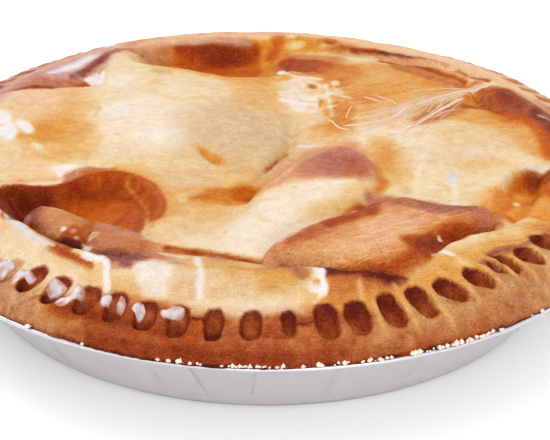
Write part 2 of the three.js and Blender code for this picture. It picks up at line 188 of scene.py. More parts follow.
# What the oven and the egg wash left on the crust, as the eye sees it in soft daylight, and painted light
# among them: plum is painted shade, mauve and rose are a painted sheen, and milk and lilac are glaze that
# is partly a painted highlight.
tones = {
    # milk: white glaze, its whiteness partly a painted highlight
    "milk": "#FBF4F1",
    "shell": "#F6E0D2",
    "pale": "#FBE9D2",
    "cream": "#F8DFB9",
    "biscuit": "#F1CC96",
    "tan": "#DDB78B",
    "peach": "#F4C79C",
    "golden": "#E8A450",
    "amber": "#DE8420",
    "orange": "#C8580A",
    "toast": "#C8743C",
    "rust": "#A43A0A",
    "brick": "#B2542A",
    "salmon": "#CC8A62",
    # rose: a painted sheen, the lighter grazing reflection on the back of the rim
    "rose": "#D9A9A2",
    "taupe": "#C08A60",
    "apricot": "#F8A348",
    # sugar: the glaze's thick white, partly a painted highlight
    "sugar": "#C2B5B8",
    "wet sugar": "#A86E58",
    "chestnut": "#842E0C",
    "mahogany": "#5C1810",
    # char: nearly burnt pastry at the lower edge; under the front fold it is a painted shadow
    "char": "#35100C",
    "pink": "#E39C68",
    # mauve: a painted sheen, the reflection on brown crests seen at a grazing angle
    "mauve": "#C67A60",
    # plum: painted shade, under overhanging edges, in creases and in the corners of hollows
    "plum": "#8A4840",
    # lilac: glaze with a painted highlight on it
    "lilac": "#E6DCE6",
}
# Browning fades outwards through a lighter tone: the tone, how many times softer and how strong.
bleeds = {
    "orange": ("golden", 2.6, 0.55),
    "rust": ("amber", 2.4, 0.5),
    "toast": ("amber", 2.2, 0.3),
    "mahogany": ("rust", 2.0, 0.5),
    "chestnut": ("orange", 2.0, 0.5),
}
# Stains, and painted shade, sheen and highlights, in the order in which they lie on each other: tone,
# strength, softness in mm, and the place.
stainsAndPaintedLight = [
    # A patch (x, y, reach across both, turn), a line (points, half width), an area (outline), or its lace.
    # left sheet
    ("pale", 0.7, 8, (-40, 10, 20, 20, 0)),
    # the tan in the middle is partly painted shade, where the dome turns away from the light
    ("tan", 0.75, 9, (-10, 4, 18, 26, 0)),
    ("tan", 0.35, 6, (-24, -40, 12, 14, 0)),
    ("peach", 0.8, 7, (-74, 30, 12, 12, 0)),
    ("golden", 0.85, 6, (-67, 4, 12, 12, 0)),
    ("amber", 0.5, 4, (-70, 4, 6, 7, 0)),
    ("golden", 0.45, 5, (-63, 24, 5, 14, 0)),
    ("golden", 0.35, 5, (-58, -8, 8, 8, 0)),
    ("peach", 0.5, 5, (-74, -18, 8, 10, 0)),
    ("milk", 0.6, 3, (-47, 19, 7, 7, 0)),
    ("milk", 0.5, 4, (-33, 0, 7, 7, 0)),
    ("milk", 0.5, 3, (-50, 48, 4, 8, 0)),
    ("milk", 1, 0.8, (-84, 9, 3.2, 11, 12)),
    ("milk", 1, 0.8, (-77.5, 8, 2.2, 5.5, 25)),
    ("milk", 0.8, 1, (-71, -7, 1.4, 4, 30)),
    ("golden", 0.6, 2, [(-20.5, -7.5), (-16.5, -12), (-13, -16)], 2),
    ("amber", 0.8, 1.2, [(-19.5, -8), (-16.5, -11.5), (-13.8, -15.5)], 1.2),
    ("toast", 0.35, 3, [(-49, 67), (-44.3, 63), (-40.6, 60), (-36, 57)], 2.5),
    ("shell", 0.5, 4, (-48, -9, 5, 5, 0)),
    ("golden", 0.5, 4, (-64, -11, 7, 4, 0)),
    ("peach", 0.4, 4, (-74, 16, 5, 5, 0)),
    ("tan", 0.8, 1, [(-55, 14), (-54.5, 21)], 0.7),
    ("golden", 0.5, 5, (-4, 46, 8, 12, 0)),
    ("tan", 0.35, 6, [(-34, -22), (-18, -26), (-8, -34), (-2, -48), (-8, -60), (-24, -60), (-32, -42)]),
    ("golden", 0.12, 5, [(-30, -40), (-10, -44), (-6, -58), (-22, -62), (-30, -54)]),
    ("golden", 0.4, 6, (0, 32, 8, 10, 0)),
    # left back edge and the rim behind it
    ("pink", 0.9, 3, [(-97, 30), (-86, 40), (-76, 43), (-66, 42), (-59, 44), (-57, 52), (-55, 64),
     (-54, 72), (-60, 84), (-78, 74), (-92, 56), (-106, 32)]),
    # painted sheen on the left back edge
    ("mauve", 0.95, 1.2, [(-92, 38), (-88, 47), (-80, 49), (-73, 52), (-65, 56), (-62, 50), (-66, 44),
     (-76, 41), (-83, 36), (-93, 32)]),
    # painted shade on the rim behind the left back edge
    ("plum", 0.8, 1, [(-92, 46), (-88, 54), (-84, 60), (-79, 63)], 1.6),
    ("rust", 0.85, 1, [(-68, 49), (-63, 44), (-59, 43), (-62, 50), (-65, 53)]),
    ("chestnut", 0.8, 0.7, [(-93, 31), (-84, 36), (-77, 40.5), (-69, 42.5)], 0.9),
    # painted sheen on the rim behind the left back edge, with glaze whose white is partly a painted
    # highlight
    ("rose", 0.8, 1.5, [(-77, 47), (-74, 58), (-69, 63), (-61, 70), (-55, 72), (-54, 66), (-58, 60),
     (-63, 55), (-68, 49)]),
    ("lilac", 1, 0.7, [(-75, 51), (-71.5, 57), (-68.5, 61), (-65, 65), (-62, 68), (-58, 69), (-59, 65.5),
     (-63, 61), (-66, 57), (-69.5, 53.5), (-73, 50.5)]),
    ("milk", 0.9, 0.8, [(-70, 56), (-65, 61.5), (-60.5, 66.5)], 1.2),
    # painted shadow under the left back sheet's corner
    ("plum", 0.95, 0.6, [(-66.5, 52), (-62, 58.5), (-58, 64.5), (-55.5, 69.5), (-53, 72.5)], 1.3),
    ("plum", 0.9, 0.6, [(-53, 73.5), (-49, 74), (-45, 73), (-40, 71)], 0.8),
    ("rose", 0.7, 1.2, (-64.5, 50.5, 2.4, 3.6, -30)),
    ("milk", 1, 0.4, [(-63, 51.5), (-61, 55.5), (-58.5, 58.5), (-56, 57.5), (-55.3, 50), (-57, 43),
     (-59.5, 47.5)]),
    ("lilac", 0.7, 4, (-60, 80, 8, 6, 40)),
    ("cream", 0.9, 1.2, [(-55, 58), (-54, 66), (-51, 71), (-44, 68), (-38, 62), (-46, 54)]),
    ("tan", 0.6, 1, [(-50, 71), (-46, 69.5), (-42, 67)], 1.2),
    # far hollow
    ("golden", 0.9, 3, [(-40, 64), (-22, 56), (-6, 48), (10, 50), (14, 66), (-10, 74), (-36, 72)]),
    ("amber", 0.95, 2.5, [(-14, 58), (-4, 56), (6, 58), (11, 64), (9, 78), (-2, 86), (-14, 84)]),
    ("orange", 1, 1.8, [(-40, 74), (-36, 68), (-27, 62), (-18, 58), (-9, 57), (-4, 64), (-2, 74),
     (-4, 84), (-20, 86), (-36, 80)]),
    ("amber", 0.6, 1.6, [(-42, 72), (-34, 70), (-27, 66), (-20, 62), (-12, 60)], 2),
    ("rust", 0.9, 2.2, [(-36, 78), (-30, 76.5), (-22, 75.5), (-12, 75.5), (-5, 77), (-3, 81), (-6, 85),
     (-14, 86), (-28, 84)]),
    ("chestnut", 0.75, 2, [(-28, 80), (-23, 78), (-16, 77), (-10, 78), (-7, 81), (-9, 84), (-22, 83.6)]),
    # painted sheen on the rim behind the far hollow
    ("mauve", 0.85, 1, [(-54, 77), (-46, 74.5), (-40, 76), (-33, 79), (-26, 81.6), (-14, 83.4), (-5, 84),
     (-8, 87), (-22, 87), (-38, 83), (-48, 80)]),
    ("rose", 0.65, 1.2, [(-46, 78), (-38, 80.5), (-31, 81.5), (-17, 84), (-7, 84.6)], 1.5),
    ("salmon", 0.8, 1.6, [(-48, 77), (-45, 71), (-37, 70.5), (-33, 74), (-34, 79), (-42, 79.5)]),
    ("salmon", 0.9, 1.6, [(-50, 80.5), (-40, 86), (-30, 89), (-18, 91), (-4, 91.5), (6, 91)], 2.6),
    ("brick", 0.6, 1.2, [(-50, 80), (-44, 82), (-38, 84.5)], 1.0),
    ("toast", 0.8, 1.6, [(-44, 87), (-30, 93), (-16, 95.5), (0, 96), (12, 95.5)], 1.8),
    ("pale", 0.7, 0.7, (-14, 88.6, 3.4, 0.9, 0)),
    ("pink", 0.6, 0.7, [(-38, 84.5), (-28, 87), (-18, 87.5)], 0.6),
    ("orange", 0.9, 1.5, [(2, 78), (4, 82), (4, 87)], 2.2),
    ("chestnut", 0.75, 0.8, (4.5, 88.5, 1.8, 1.8, 0)),
    # back right
    ("toast", 0.7, 3, [(2, 72), (8, 60), (16, 56), (24, 58), (28, 66), (26, 74), (10, 78)]),
    ("rust", 0.85, 1.2, [(5, 74), (11, 73), (19, 71), (24, 67), (22, 60), (17, 57), (11, 59), (6, 68)]),
    ("golden", 0.95, 4, [(20, 10), (30, 14), (44, 22), (66, 36), (72, 44), (62, 57), (40, 68), (26, 66),
     (20, 54), (21, 30)]),
    ("orange", 0.5, 3, [(20, 68), (30, 66), (34, 56), (30, 46), (24, 44), (20, 54)]),
    ("orange", 0.55, 3, (32, 38, 6, 7, 20)),
    ("amber", 0.7, 3, (40, 43, 9, 8, 20)),
    ("amber", 0.6, 4, (56, 50, 9, 5, -25)),
    ("orange", 0.6, 2, [(21, 30), (27, 33), (30, 27), (28, 14), (23, 11), (21, 20)]),
    ("orange", 0.5, 1.5, (27, 50, 3, 5, 0)),
    ("toast", 0.9, 1, [(43, 67), (50, 65), (58, 59.5), (64, 53), (70, 46), (66, 46), (60, 50), (53, 55),
     (46, 61)]),
    ("rust", 0.8, 0.7, [(40, 70), (50, 66.5), (57, 61), (63.5, 55), (68.5, 49)], 0.8),
    ("pink", 0.9, 0.6, [(40, 72.5), (51, 68.5), (58, 63.5), (64, 58), (69, 51)], 1.1),
    ("peach", 0.95, 1, [(28, 84), (42, 79), (56, 72), (68, 62), (78, 52), (86, 42)], 4),
    ("mahogany", 0.95, 0.6, [(30, 79), (36, 77), (42, 74.5), (50.5, 70.7), (58, 67), (63, 62.8),
     (68, 56.5)], 0.45),
    ("chestnut", 0.8, 0.6, [(66, 59), (72, 51), (76, 46)], 0.4),
    ("rust", 0.9, 0.9, [(26, 81), (33, 78.4), (38, 76.6)], 0.8),
    ("rust", 0.8, 0.6, [(66, 58), (71, 52), (76, 47.5)], 1.2),
    ("milk", 0.9, 0.4, (65, 60.5, 2, 1.2, -40)),
    ("milk", 0.9, 0.4, (70.7, 52.5, 1.4, 1, -40)),
    ("amber", 0.8, 2.5, (16, 84, 11, 5, 0)),
    ("pale", 0.8, 0.7, (9, 87.6, 1.8, 1.4, 0)),
    ("toast", 0.6, 2, (24, 82, 8, 3, -15)),
    ("peach", 0.9, 0.6, (21, 81.6, 3, 0.8, 0)),
    ("pale", 0.8, 1, (11, 83, 4, 1.4, 0)),
    ("pale", 0.8, 1, (17, 88, 5, 1.6, -10)),
    ("rust", 0.8, 0.8, (23, 84, 2.4, 2, 0)),
    ("shell", 0.45, 2, [(5, 35), (10, 37.5), (18.5, 36), (20, 27), (13.5, 25), (8, 24), (6, 30)]),
    ("milk", 0.85, 0.5, [(5.8, 34.5), (11, 33), (17.5, 30.5)], 1.3),
    ("milk", 0.75, 0.6, [(5.8, 60), (11, 55), (19, 51.5)], 0.8),
    ("milk", 0.65, 0.6, [(6, 54), (12, 56), (20, 50), (27, 40), (24, 30), (18, 25), (8, 27), (4, 36)],
     "lace"),
    ("milk", 0.8, 0.9, [(20.5, 46), (20.8, 37), (21.6, 28), (22, 21)], 0.6),
    ("milk", 0.9, 0.6, (24, 48, 1.6, 2.2, 0)),
    ("milk", 0.8, 0.6, [(17, 38), (23, 39.5), (28, 36)], 0.9),
    ("shell", 0.5, 2, [(7, 47), (10, 55), (15, 53), (17, 42), (13.5, 38), (9, 39)]),
    ("amber", 0.8, 0.6, (18.3, 32, 0.9, 3, 0)),
    ("rust", 0.5, 0.6, (16, 45, 1.2, 2, 20)),
    ("milk", 1, 0.4, [(5.5, 66), (7.5, 61.5)], 1.5),
    ("shell", 0.6, 0.5, [(8, 61), (12, 58), (16, 58)], 0.6),
    ("pale", 0.7, 1.5, [(34, 22), (44, 26), (54, 31), (62, 36), (68, 42)], 3),
    ("shell", 0.5, 0.5, [(68, 43), (72.5, 42.5), (78, 43), (82, 42), (87, 39)], 0.7),
    ("peach", 0.8, 1.2, [(84, 42), (70, 45), (60, 42), (50, 36), (42, 28), (36, 18), (44, 18), (50, 26),
     (58, 32), (68, 40)]),
    ("shell", 0.85, 0.5, [(72, 43.4), (66, 43), (59, 38.5), (52, 33.5), (47, 26), (43, 21)], 1.1),
    ("shell", 0.85, 0.4, [(66.5, 35), (61.5, 30), (56.5, 25), (50.5, 16)], 0.9),
    ("milk", 0.8, 0.4, [(9, 0), (14.5, -1), (21, -0.5), (30.5, 2), (40.5, 6.5), (49.5, 9.5)], 0.6),
    ("toast", 0.8, 2, [(50, 14), (60, 20), (68, 28), (74, 38), (66, 34), (56, 27), (49, 21)]),
    ("golden", 0.6, 4, (21, 9, 7, 5, 0)),
    ("orange", 0.4, 3, (24, 12, 5, 4, 0)),
    ("peach", 0.4, 5, [(10, 6), (22, 4), (36, 14), (46, 22), (58, 34), (52, 50), (36, 60), (24, 54),
     (24, 30), (12, 14)]),
    # far right corner
    ("golden", 0.8, 3, [(60, 22), (70, 26), (78, 18), (84, 8), (89, -4), (85, -8), (80, 4), (72, 13)]),
    ("orange", 1, 1.6, [(74, 30), (79.5, 20), (84.5, 11), (87, 3), (88, -6), (90, -14), (98, -16),
     (100, 6), (95, 20), (84, 38), (76, 40)]),
    ("rust", 0.9, 1.6, [(80, 35), (85, 23), (90, 13), (92.5, 3), (94, -8)], 2.4),
    ("amber", 1, 1.2, [(68, 38.5), (72.5, 41.5), (77, 37), (78, 30.5), (75, 29), (70, 29), (67, 33)]),
    ("rust", 0.8, 1, [(67, 31), (72, 28.5), (78, 27)], 1.2),
    ("chestnut", 0.95, 1, [(78, 38), (82, 39.5), (87, 36), (92, 37), (96, 28), (97, 10), (93, 2),
     (90, 12), (85, 21), (80, 29)]),
    ("mahogany", 0.5, 2, [(78, 38), (82, 39.5), (87, 36), (92, 37), (96, 28), (97, 10), (93, 2),
     (90, 12), (85, 21), (80, 29)]),
    ("pink", 0.8, 0.4, [(84, 38), (88, 31), (93, 22)], 0.5),
    ("pink", 0.8, 0.4, [(87, 37), (91, 31), (96, 24)], 0.4),
    ("shell", 0.8, 0.4, [(80, 30), (84, 27)], 0.5),
    ("shell", 0.8, 0.4, [(89, 18), (93, 14), (97, 12)], 0.6),
    ("orange", 0.65, 2.5, (77, 21, 3.5, 6, 20)),
    ("golden", 0.7, 2.5, (70, 20, 5, 5, 0)),
    ("toast", 0.6, 1.5, (72.5, 34, 3, 2.5, 0)),
    ("golden", 0.6, 3, [(68, 28), (76, 22), (84, 12), (87, 0), (82, -4), (78, 8), (70, 18)]),
    # right sheet
    ("pale", 0.55, 7, (46, 2, 14, 8, 10)),
    ("biscuit", 0.6, 6, (66, 6, 14, 10, 0)),
    ("golden", 0.85, 3.5, (37, -10, 4, 11, 0)),
    ("golden", 0.6, 4, (41, -23, 5, 10, 0)),
    ("orange", 0.3, 3, (39, -14, 3, 8, 0)),
    ("orange", 0.75, 2, [(34, -20), (36, -29), (34, -36)], 1.6),
    ("golden", 0.3, 5, (62, -14, 12, 8, 0)),
    ("shell", 0.5, 5, (53, -14, 13, 8, 10)),
    ("shell", 0.5, 4, (66, -10, 8, 5, 10)),
    ("milk", 0.6, 1.5, (48, -20, 1.6, 8, -8)),
    ("lilac", 0.9, 0.8, (57.5, -28, 1.6, 4, -5)),
    ("milk", 0.6, 1.2, (57.5, -35, 0.8, 6, -5)),
    # middle fold
    ("pale", 0.95, 4, [(2, -40), (12, -33), (30, -31), (31, -42), (20, -54), (8, -64), (2, -76),
     (-10, -74), (-12, -60)]),
    ("pink", 0.9, 3, [(-5, -40), (0, -24), (8, -10), (18, -2), (28, 1), (34, -10), (33, -30), (12, -33),
     (4, -38)]),
    # painted sheen on the middle fold's crest
    ("mauve", 0.9, 3, [(12, -16), (20, -11), (28, -10), (33, -16), (33, -28), (24, -31), (12, -31),
     (9, -25)]),
    ("plum", 0.3, 4, (22, -22, 6, 6, 0)),
    ("peach", 0.45, 2, [(2, -34), (6, -27), (11, -20), (17, -13)], 2),
    ("brick", 0.5, 2.5, (29, -25, 4, 7, 0)),
    ("golden", 0.5, 4, [(16, -50), (24, -46), (30, -38)], 3),
    # navel
    ("amber", 0.85, 3, [(-2, -30), (-2, -38), (-6, -42), (-20, -44), (-20, -38), (-8, -33), (-6, -28)]),
    ("golden", 0.45, 6, (-17, -43, 15, 9, 10)),
    ("golden", 0.35, 5, (-9, -26, 10, 7, 0)),
    ("orange", 0.7, 2, [(-21, -39.5), (-16, -37.5), (-9, -35.5)], 1.2),
    ("orange", 0.8, 2, (-6, -34, 4, 3, 20)),
    ("rust", 0.6, 1, (-3.5, -36, 2, 2, 0)),
    # front fold
    ("pink", 1, 1.2, [(0, -78), (6, -67), (15, -59), (25, -54), (31, -46), (31, -37), (42, -38),
     (56, -44), (66, -45), (70, -48), (67, -54), (60, -59), (52, -67), (46, -78), (37, -84), (20, -84),
     (7, -81)]),
    ("peach", 0.6, 4, [(8, -76), (18, -68), (30, -60), (44, -58), (46, -64), (38, -76), (24, -82),
     (10, -80)]),
    ("toast", 0.6, 1.6, [(8, -72), (13, -68), (19, -62), (26, -55), (33, -57), (28, -60), (21, -64),
     (14, -70)]),
    # painted shade: the front fold's upper edge overhangs here, and the wedge below it lies in its shadow
    ("brick", 0.85, 2, [(9, -74), (16, -68), (22.4, -62.5), (28.3, -58), (32, -53)], 2.6),
    ("rust", 0.85, 1.6, [(20, -64), (26, -59), (31, -53), (33, -49)], 2.2),
    ("rust", 0.95, 1.2, [(23, -54), (27, -46), (31, -44), (34, -56), (30, -59)]),
    # painted sheen along the front fold's crest
    ("mauve", 0.9, 1.2, [(31, -38), (40, -39), (50, -43), (60, -45), (67, -46), (69, -49), (64, -53),
     (57, -55), (50, -56), (46, -54), (42, -53), (34, -51)]),
    ("brick", 0.45, 2, (40, -47, 8, 5, 0)),
    ("plum", 0.5, 1.6, [(46, -45), (56, -47), (64, -49), (60, -53), (50, -54), (46, -50)]),
    ("pink", 0.7, 0.5, [(33, -43), (42, -42), (52, -45.5), (62, -46)], 0.5),
    ("toast", 0.35, 2.5, [(16, -83), (28, -83), (38, -78)], 1.6),
    # painted shadow along and under the fold's lower edge, ending in dark contact lines
    ("rust", 0.8, 2, [(23, -85.3), (32, -85), (41, -80), (47, -71)], 2),
    ("rust", 0.95, 1.8, [(40, -72), (46, -68), (52, -62), (58, -57.5), (64, -54), (70, -51), (67, -56),
     (61, -62), (56, -66), (51, -71), (46, -76)]),
    ("chestnut", 0.8, 1.2, (48, -69.5, 5, 2.2, 45)),
    ("plum", 0.8, 0.8, [(5, -79.5), (12, -82), (20, -84.3)], 0.6),
    ("char", 0.9, 0.8, [(15, -83), (26, -85.5), (40, -86)], 0.8),
    ("milk", 0.95, 0.3, (51.5, -65, 0.9, 0.8, 0)),
    # painted highlight along the fold's upper left edge
    ("pale", 0.75, 1, [(6, -73.5), (12, -65.5), (18.5, -58), (24, -52), (28, -47.5)], 1.1),
    ("rust", 0.6, 1.6, [(26, -60), (31, -55), (33, -50)], 1.6),
    # front right: below the fold
    # painted shadow under the fold
    ("mahogany", 1, 0.9, [(15, -86), (26, -86.5), (40, -86), (38, -91), (24, -91.5), (17, -90)]),
    ("amber", 0.7, 1.5, [(19, -90), (36, -90), (37, -94), (28, -98), (19, -98)]),
    ("toast", 0.8, 1.5, [(19, -90), (36, -90), (37, -94), (28, -98), (19, -98)]),
    ("golden", 0.85, 3, [(38, -88), (46, -82), (56, -73), (66, -63), (76, -57), (84, -54), (80, -62),
     (68, -74), (54, -85), (40, -94)]),
    ("cream", 0.8, 1, [(27, -91), (28, -96)], 0.8),
    ("biscuit", 0.7, 1.2, [(60, -70), (68, -63), (76, -58)], 1.4),
    ("milk", 0.9, 0.5, [(50, -74), (53.5, -76), (56, -77.3), (59, -78)], 0.9),
    # right hollow
    ("orange", 0.95, 1.2, [(67, -47), (68.5, -41), (71, -35), (75, -28), (79, -22.5), (86, -19.8),
     (97, -19), (100, -32), (96, -44), (86, -48), (75, -49), (69, -48)]),
    ("amber", 0.95, 1.8, [(71, -40), (75, -31), (81.5, -26), (90, -29), (96, -36), (92, -45), (82, -48),
     (75, -46), (70, -45)]),
    ("apricot", 0.75, 2.5, [(64, -44), (68, -36), (74, -30), (81, -26), (90, -27), (99, -32), (96, -44),
     (84, -48), (72, -48)]),
    ("golden", 0.8, 1.4, (86, -41, 5, 3, 0)),
    ("rust", 0.8, 1.2, [(80, -22.5), (85, -20), (97, -19.5), (99, -25), (90, -25), (83, -24)]),
    ("orange", 0.7, 2, [(84, -24), (97, -23), (98, -34), (88, -33)]),
    ("orange", 0.5, 2, [(70, -46), (72, -41), (76, -35), (83, -31)], 1.2),
    ("chestnut", 0.6, 1.0, [(83, -21.2), (88, -20.6), (97, -20.6)], 0.8),
    ("rust", 0.8, 1, [(90, -36), (94, -42), (92, -47)], 1.5),
    ("lilac", 0.9, 0.5, [(80, -19.4), (85, -17.8), (90, -17.2), (97, -17.2)], 0.9),
    ("milk", 0.9, 0.4, (77, -34.5, 1.2, 1.6, 0)),
    ("golden", 0.5, 2, [(66, -58), (74, -55), (82, -53)], 2),
    ("mauve", 0.6, 1.5, [(62, -54), (67, -49), (69, -46), (72, -47), (70, -52), (66, -56)]),
    # painted shade above the slots on the right
    ("plum", 0.8, 1, [(62, -77), (65, -73), (69.5, -69), (74, -66), (79, -62), (83, -58)], 1.4),
    ("milk", 0.9, 0.4, (49.8, -87, 0.8, 1.4, 50)),
    ("shell", 0.95, 0.4, (75, -68.5, 1.3, 1.3, 0)),
    ("shell", 0.95, 0.4, (80.5, -58.5, 1.6, 1.2, 0)),
    # left hollow, the roll in front of it and the groove
    ("golden", 0.6, 2.5, [(-46, -20), (-36, -22), (-28, -34), (-26, -48), (-31, -57), (-40, -40)]),
    ("rust", 0.85, 0.8, [(-47, -21.5), (-39, -24.5), (-33, -30), (-30, -38), (-28.5, -47), (-31.5, -53),
     (-35, -44), (-38, -34), (-42, -25)]),
    ("orange", 0.7, 1.2, [(-36, -29), (-32, -37), (-30.5, -46), (-32, -51)], 1.2),
    # painted sheen on the crest of the left hollow's back lip
    ("mauve", 0.9, 0.6, [(-61, -28.5), (-61, -25), (-58, -22), (-55, -20), (-50.5, -19.8), (-45, -21),
     (-50.5, -24), (-54.5, -26), (-58.5, -30), (-61, -31.5)]),
    ("pink", 0.6, 1.5, [(-80, -29.5), (-72, -29.5), (-66, -28.5), (-62, -27)], 1.3),
    ("mauve", 0.8, 0.8, [(-60, -25.5), (-56, -22.5), (-51, -21.5), (-46, -21)], 1.2),
    ("milk", 0.9, 0.4, [(-65, -20), (-58, -19), (-58.5, -21), (-61.5, -23), (-62, -27.5), (-63.5, -24)]),
    ("rust", 1, 0.6, [(-80, -32.2), (-71, -32.4), (-65, -32), (-62, -31), (-58.5, -28.5), (-54.5, -24.5),
     (-50.5, -22.5), (-45, -22.5), (-40, -26), (-36.5, -34), (-34.5, -46), (-35, -58), (-36, -66),
     (-48, -66), (-64, -58), (-74, -57), (-80, -46)]),
    ("orange", 1, 1.6, [(-63, -35.5), (-56, -30.5), (-49.5, -28.5), (-43, -31), (-38.5, -39), (-37, -50),
     (-39, -62), (-50, -54)]),
    ("amber", 0.3, 2, (-47, -42, 7, 5, -20)),
    ("orange", 0.65, 1.5, [(-54, -24), (-46, -24), (-40, -27), (-36.5, -34), (-34.5, -46)], 2),
    ("rust", 0.6, 1, [(-44, -50), (-41, -42), (-40, -36)], 1.2),
    ("chestnut", 0.2, 1.2, [(-66, -34.5), (-60, -32.5), (-54, -27), (-47, -25), (-43, -27)], 1.4),
    ("peach", 0.8, 0.7, [(-42, -25), (-38.5, -31.5), (-36, -39.5), (-34, -45)], 0.3),
    # painted shade in the left hollow's corner, under its lip
    ("mahogany", 0.35, 1, [(-80, -32.6), (-71, -33), (-64, -33.5), (-66, -37), (-70, -42), (-69, -50),
     (-73, -58), (-79, -46)]),
    ("plum", 0.4, 2, (-76, -40, 3, 7, 0)),
    ("milk", 0.8, 0.4, [(-82, -30), (-81.5, -38), (-79, -48), (-77, -53)], 0.8),
    ("salmon", 0.95, 0.8, [(-71, -44), (-67, -41), (-61, -42), (-50, -50), (-40, -55), (-32, -61),
     (-28, -68), (-44, -78), (-58, -70), (-70, -54)]),
    ("plum", 0.8, 2, [(-73, -46), (-69, -42), (-66, -46), (-65, -53), (-63, -60), (-70, -56)]),
    ("chestnut", 0.35, 1.6, (-70, -45.5, 3.4, 3, 0)),
    ("peach", 0.45, 1.6, [(-65, -49), (-63, -45), (-58, -46), (-53, -50), (-53, -55), (-57, -58),
     (-61, -56)]),
    # painted highlight along the top of the roll, with small painted glints
    ("pink", 0.85, 0.5, [(-67, -43), (-62, -43), (-56, -46.5), (-52, -50)], 0.7),
    ("shell", 0.8, 0.4, (-62.5, -44, 1.4, 0.8, 0)),
    ("shell", 0.7, 0.4, (-66, -43.4, 1, 0.8, 0)),
    # painted sheen on the roll's crest
    ("mauve", 0.8, 1, [(-50, -50), (-44, -53), (-38, -56), (-36.5, -59), (-36, -63), (-38, -65),
     (-44.5, -61), (-49, -56)]),
    ("biscuit", 0.9, 0.8, [(-35.5, -56), (-30, -55), (-26, -59), (-24, -66), (-29, -67.5),
     (-33.5, -66.5), (-35.5, -62)]),
    ("peach", 0.6, 1.4, [(-46.5, -67), (-42.5, -63), (-38, -65), (-33, -67.5), (-33, -70), (-38, -71),
     (-43.5, -71.5)]),
    # painted shade in the groove in front of the roll
    ("plum", 0.55, 1.4, [(-48, -72), (-44, -72.5), (-37, -72.5), (-34, -75), (-38, -80), (-43, -81),
     (-47, -79)]),
    # painted shade along the roll's lower side and in the gap below it
    ("chestnut", 0.9, 1.2, [(-70, -53), (-66, -61), (-60, -68), (-54, -74)], 1.7),
    ("rust", 0.9, 0.8, [(-58.5, -64), (-55.5, -57.5), (-52, -56), (-50, -60), (-50, -66), (-52, -70),
     (-57, -68)]),
    ("mahogany", 0.85, 1.0, [(-64, -62), (-59, -64.5), (-55.5, -65), (-52, -67), (-51, -71),
     (-54, -73.5), (-60, -69)]),
    ("orange", 0.95, 0.5, (-52, -58.5, 1.7, 2.6, 15)),
    ("rust", 0.7, 0.5, [(-50, -53), (-49.5, -58), (-50, -62)], 0.8),
    ("peach", 0.95, 0.4, (-54.6, -61.5, 0.8, 1.4, 0)),
    ("peach", 0.9, 0.4, (-53.2, -65.5, 0.7, 1.2, 0)),
    ("rust", 0.85, 0.6, [(-61, -71), (-56.5, -74), (-52, -77.5), (-47.5, -81), (-47.5, -83),
     (-51.5, -80.5), (-56.5, -77), (-61, -73)]),
    ("pink", 0.9, 1.2, [(-36, -70), (-28, -71), (-18, -74), (-6, -77), (4, -80)], 2.0),
    ("mauve", 0.7, 0.8, [(-27, -70.4), (-15, -73.4), (-4, -76.6)], 1.0),
    ("peach", 0.7, 1.2, (-34, -71, 3, 1.4, -10)),
    ("rust", 0.8, 0.6, [(-27, -69.2), (-20, -70.6), (-12, -72.6), (0, -77)], 0.6),
    ("brick", 0.4, 2, [(-50, -58), (-44, -62), (-36, -66), (-32, -70), (-38, -76), (-50, -70)]),
    ("toast", 0.35, 2.5, [(-66, -48), (-56, -50), (-50, -54), (-50, -62), (-58, -62), (-66, -56)]),
    ("salmon", 0.8, 1, [(-43, -80), (-36, -79), (-30, -76), (-30, -79), (-35, -83.5), (-42, -85)]),
    # painted shade in the groove
    ("plum", 0.85, 1.2, [(-46, -74), (-38, -73), (-31, -73.5), (-28, -76), (-32, -79), (-39, -82),
     (-45, -81)]),
    ("salmon", 0.85, 1, [(-32, -75), (-25.8, -77), (-21, -78.6), (-13, -78.2), (-8, -79.4)], 1.5),
    ("brick", 0.45, 0.8, [(-32, -76), (-26, -78), (-20, -79.5)], 0.7),
    ("golden", 0.8, 0.8, [(-20, -80.5), (-12, -80.5), (-6, -81)], 1.0),
    ("pale", 0.6, 2.5, [(-86, -50), (-78, -54), (-70, -62), (-60, -74), (-50, -82), (-52, -88),
     (-64, -80), (-78, -68)]),
    # glaze along the shoulder's edge, its lilac white partly painted glints
    ("lilac", 0.95, 0.4, [(-76, -53), (-73, -57.3), (-71.2, -58.4), (-69.2, -60.7), (-67.6, -63.9),
     (-64.8, -66.9), (-62.5, -69), (-59.8, -71.5), (-59, -72.8), (-61, -72.2), (-63.5, -70.6),
     (-66, -68.4), (-68.3, -66.2), (-70.8, -62.6), (-74, -58.4)]),
    ("lilac", 0.45, 0.6, [(-72.5, -46), (-70, -47), (-68.5, -49.5), (-69.5, -52), (-71, -53),
     (-72, -50)]),
    ("milk", 0.95, 0.3, (-57.9, -59.8, 0.9, 1.3, 0)),
    ("milk", 0.8, 0.3, (-48.3, -64.4, 1.7, 1.5, 0)),
    ("toast", 0.8, 0.3, (-48.1, -64.4, 0.7, 0.6, 0)),
    ("lilac", 1, 0.4, (-49.8, -70.1, 1.5, 2.2, 0)),
    # glaze drips, their white partly painted highlights
    ("milk", 1, 0.3, [(-49.8, -78.3), (-47.2, -79.9), (-44.3, -80.9), (-43, -83), (-43.2, -85.7),
     (-42.6, -88.5)], 1.0),
    ("milk", 0.95, 0.3, (-42.7, -88.4, 1.2, 2.2, 0)),
    ("milk", 0.8, 0.3, (-38.1, -83.3, 0.9, 1.4, 0)),
    ("toast", 0.8, 0.4, [(-36.5, -82), (-36, -85)], 0.6),
    # a glaze drip, its white partly a painted highlight
    ("milk", 1, 0.3, [(12.2, -87.4), (15.2, -86.8), (17.9, -87.6), (17.4, -90.9), (18.4, -93), (18, -95),
     (16.3, -96.7), (14.9, -98.5), (14, -98), (15.2, -96.2), (15.8, -95.2), (14.6, -95.2), (13.1, -94.9),
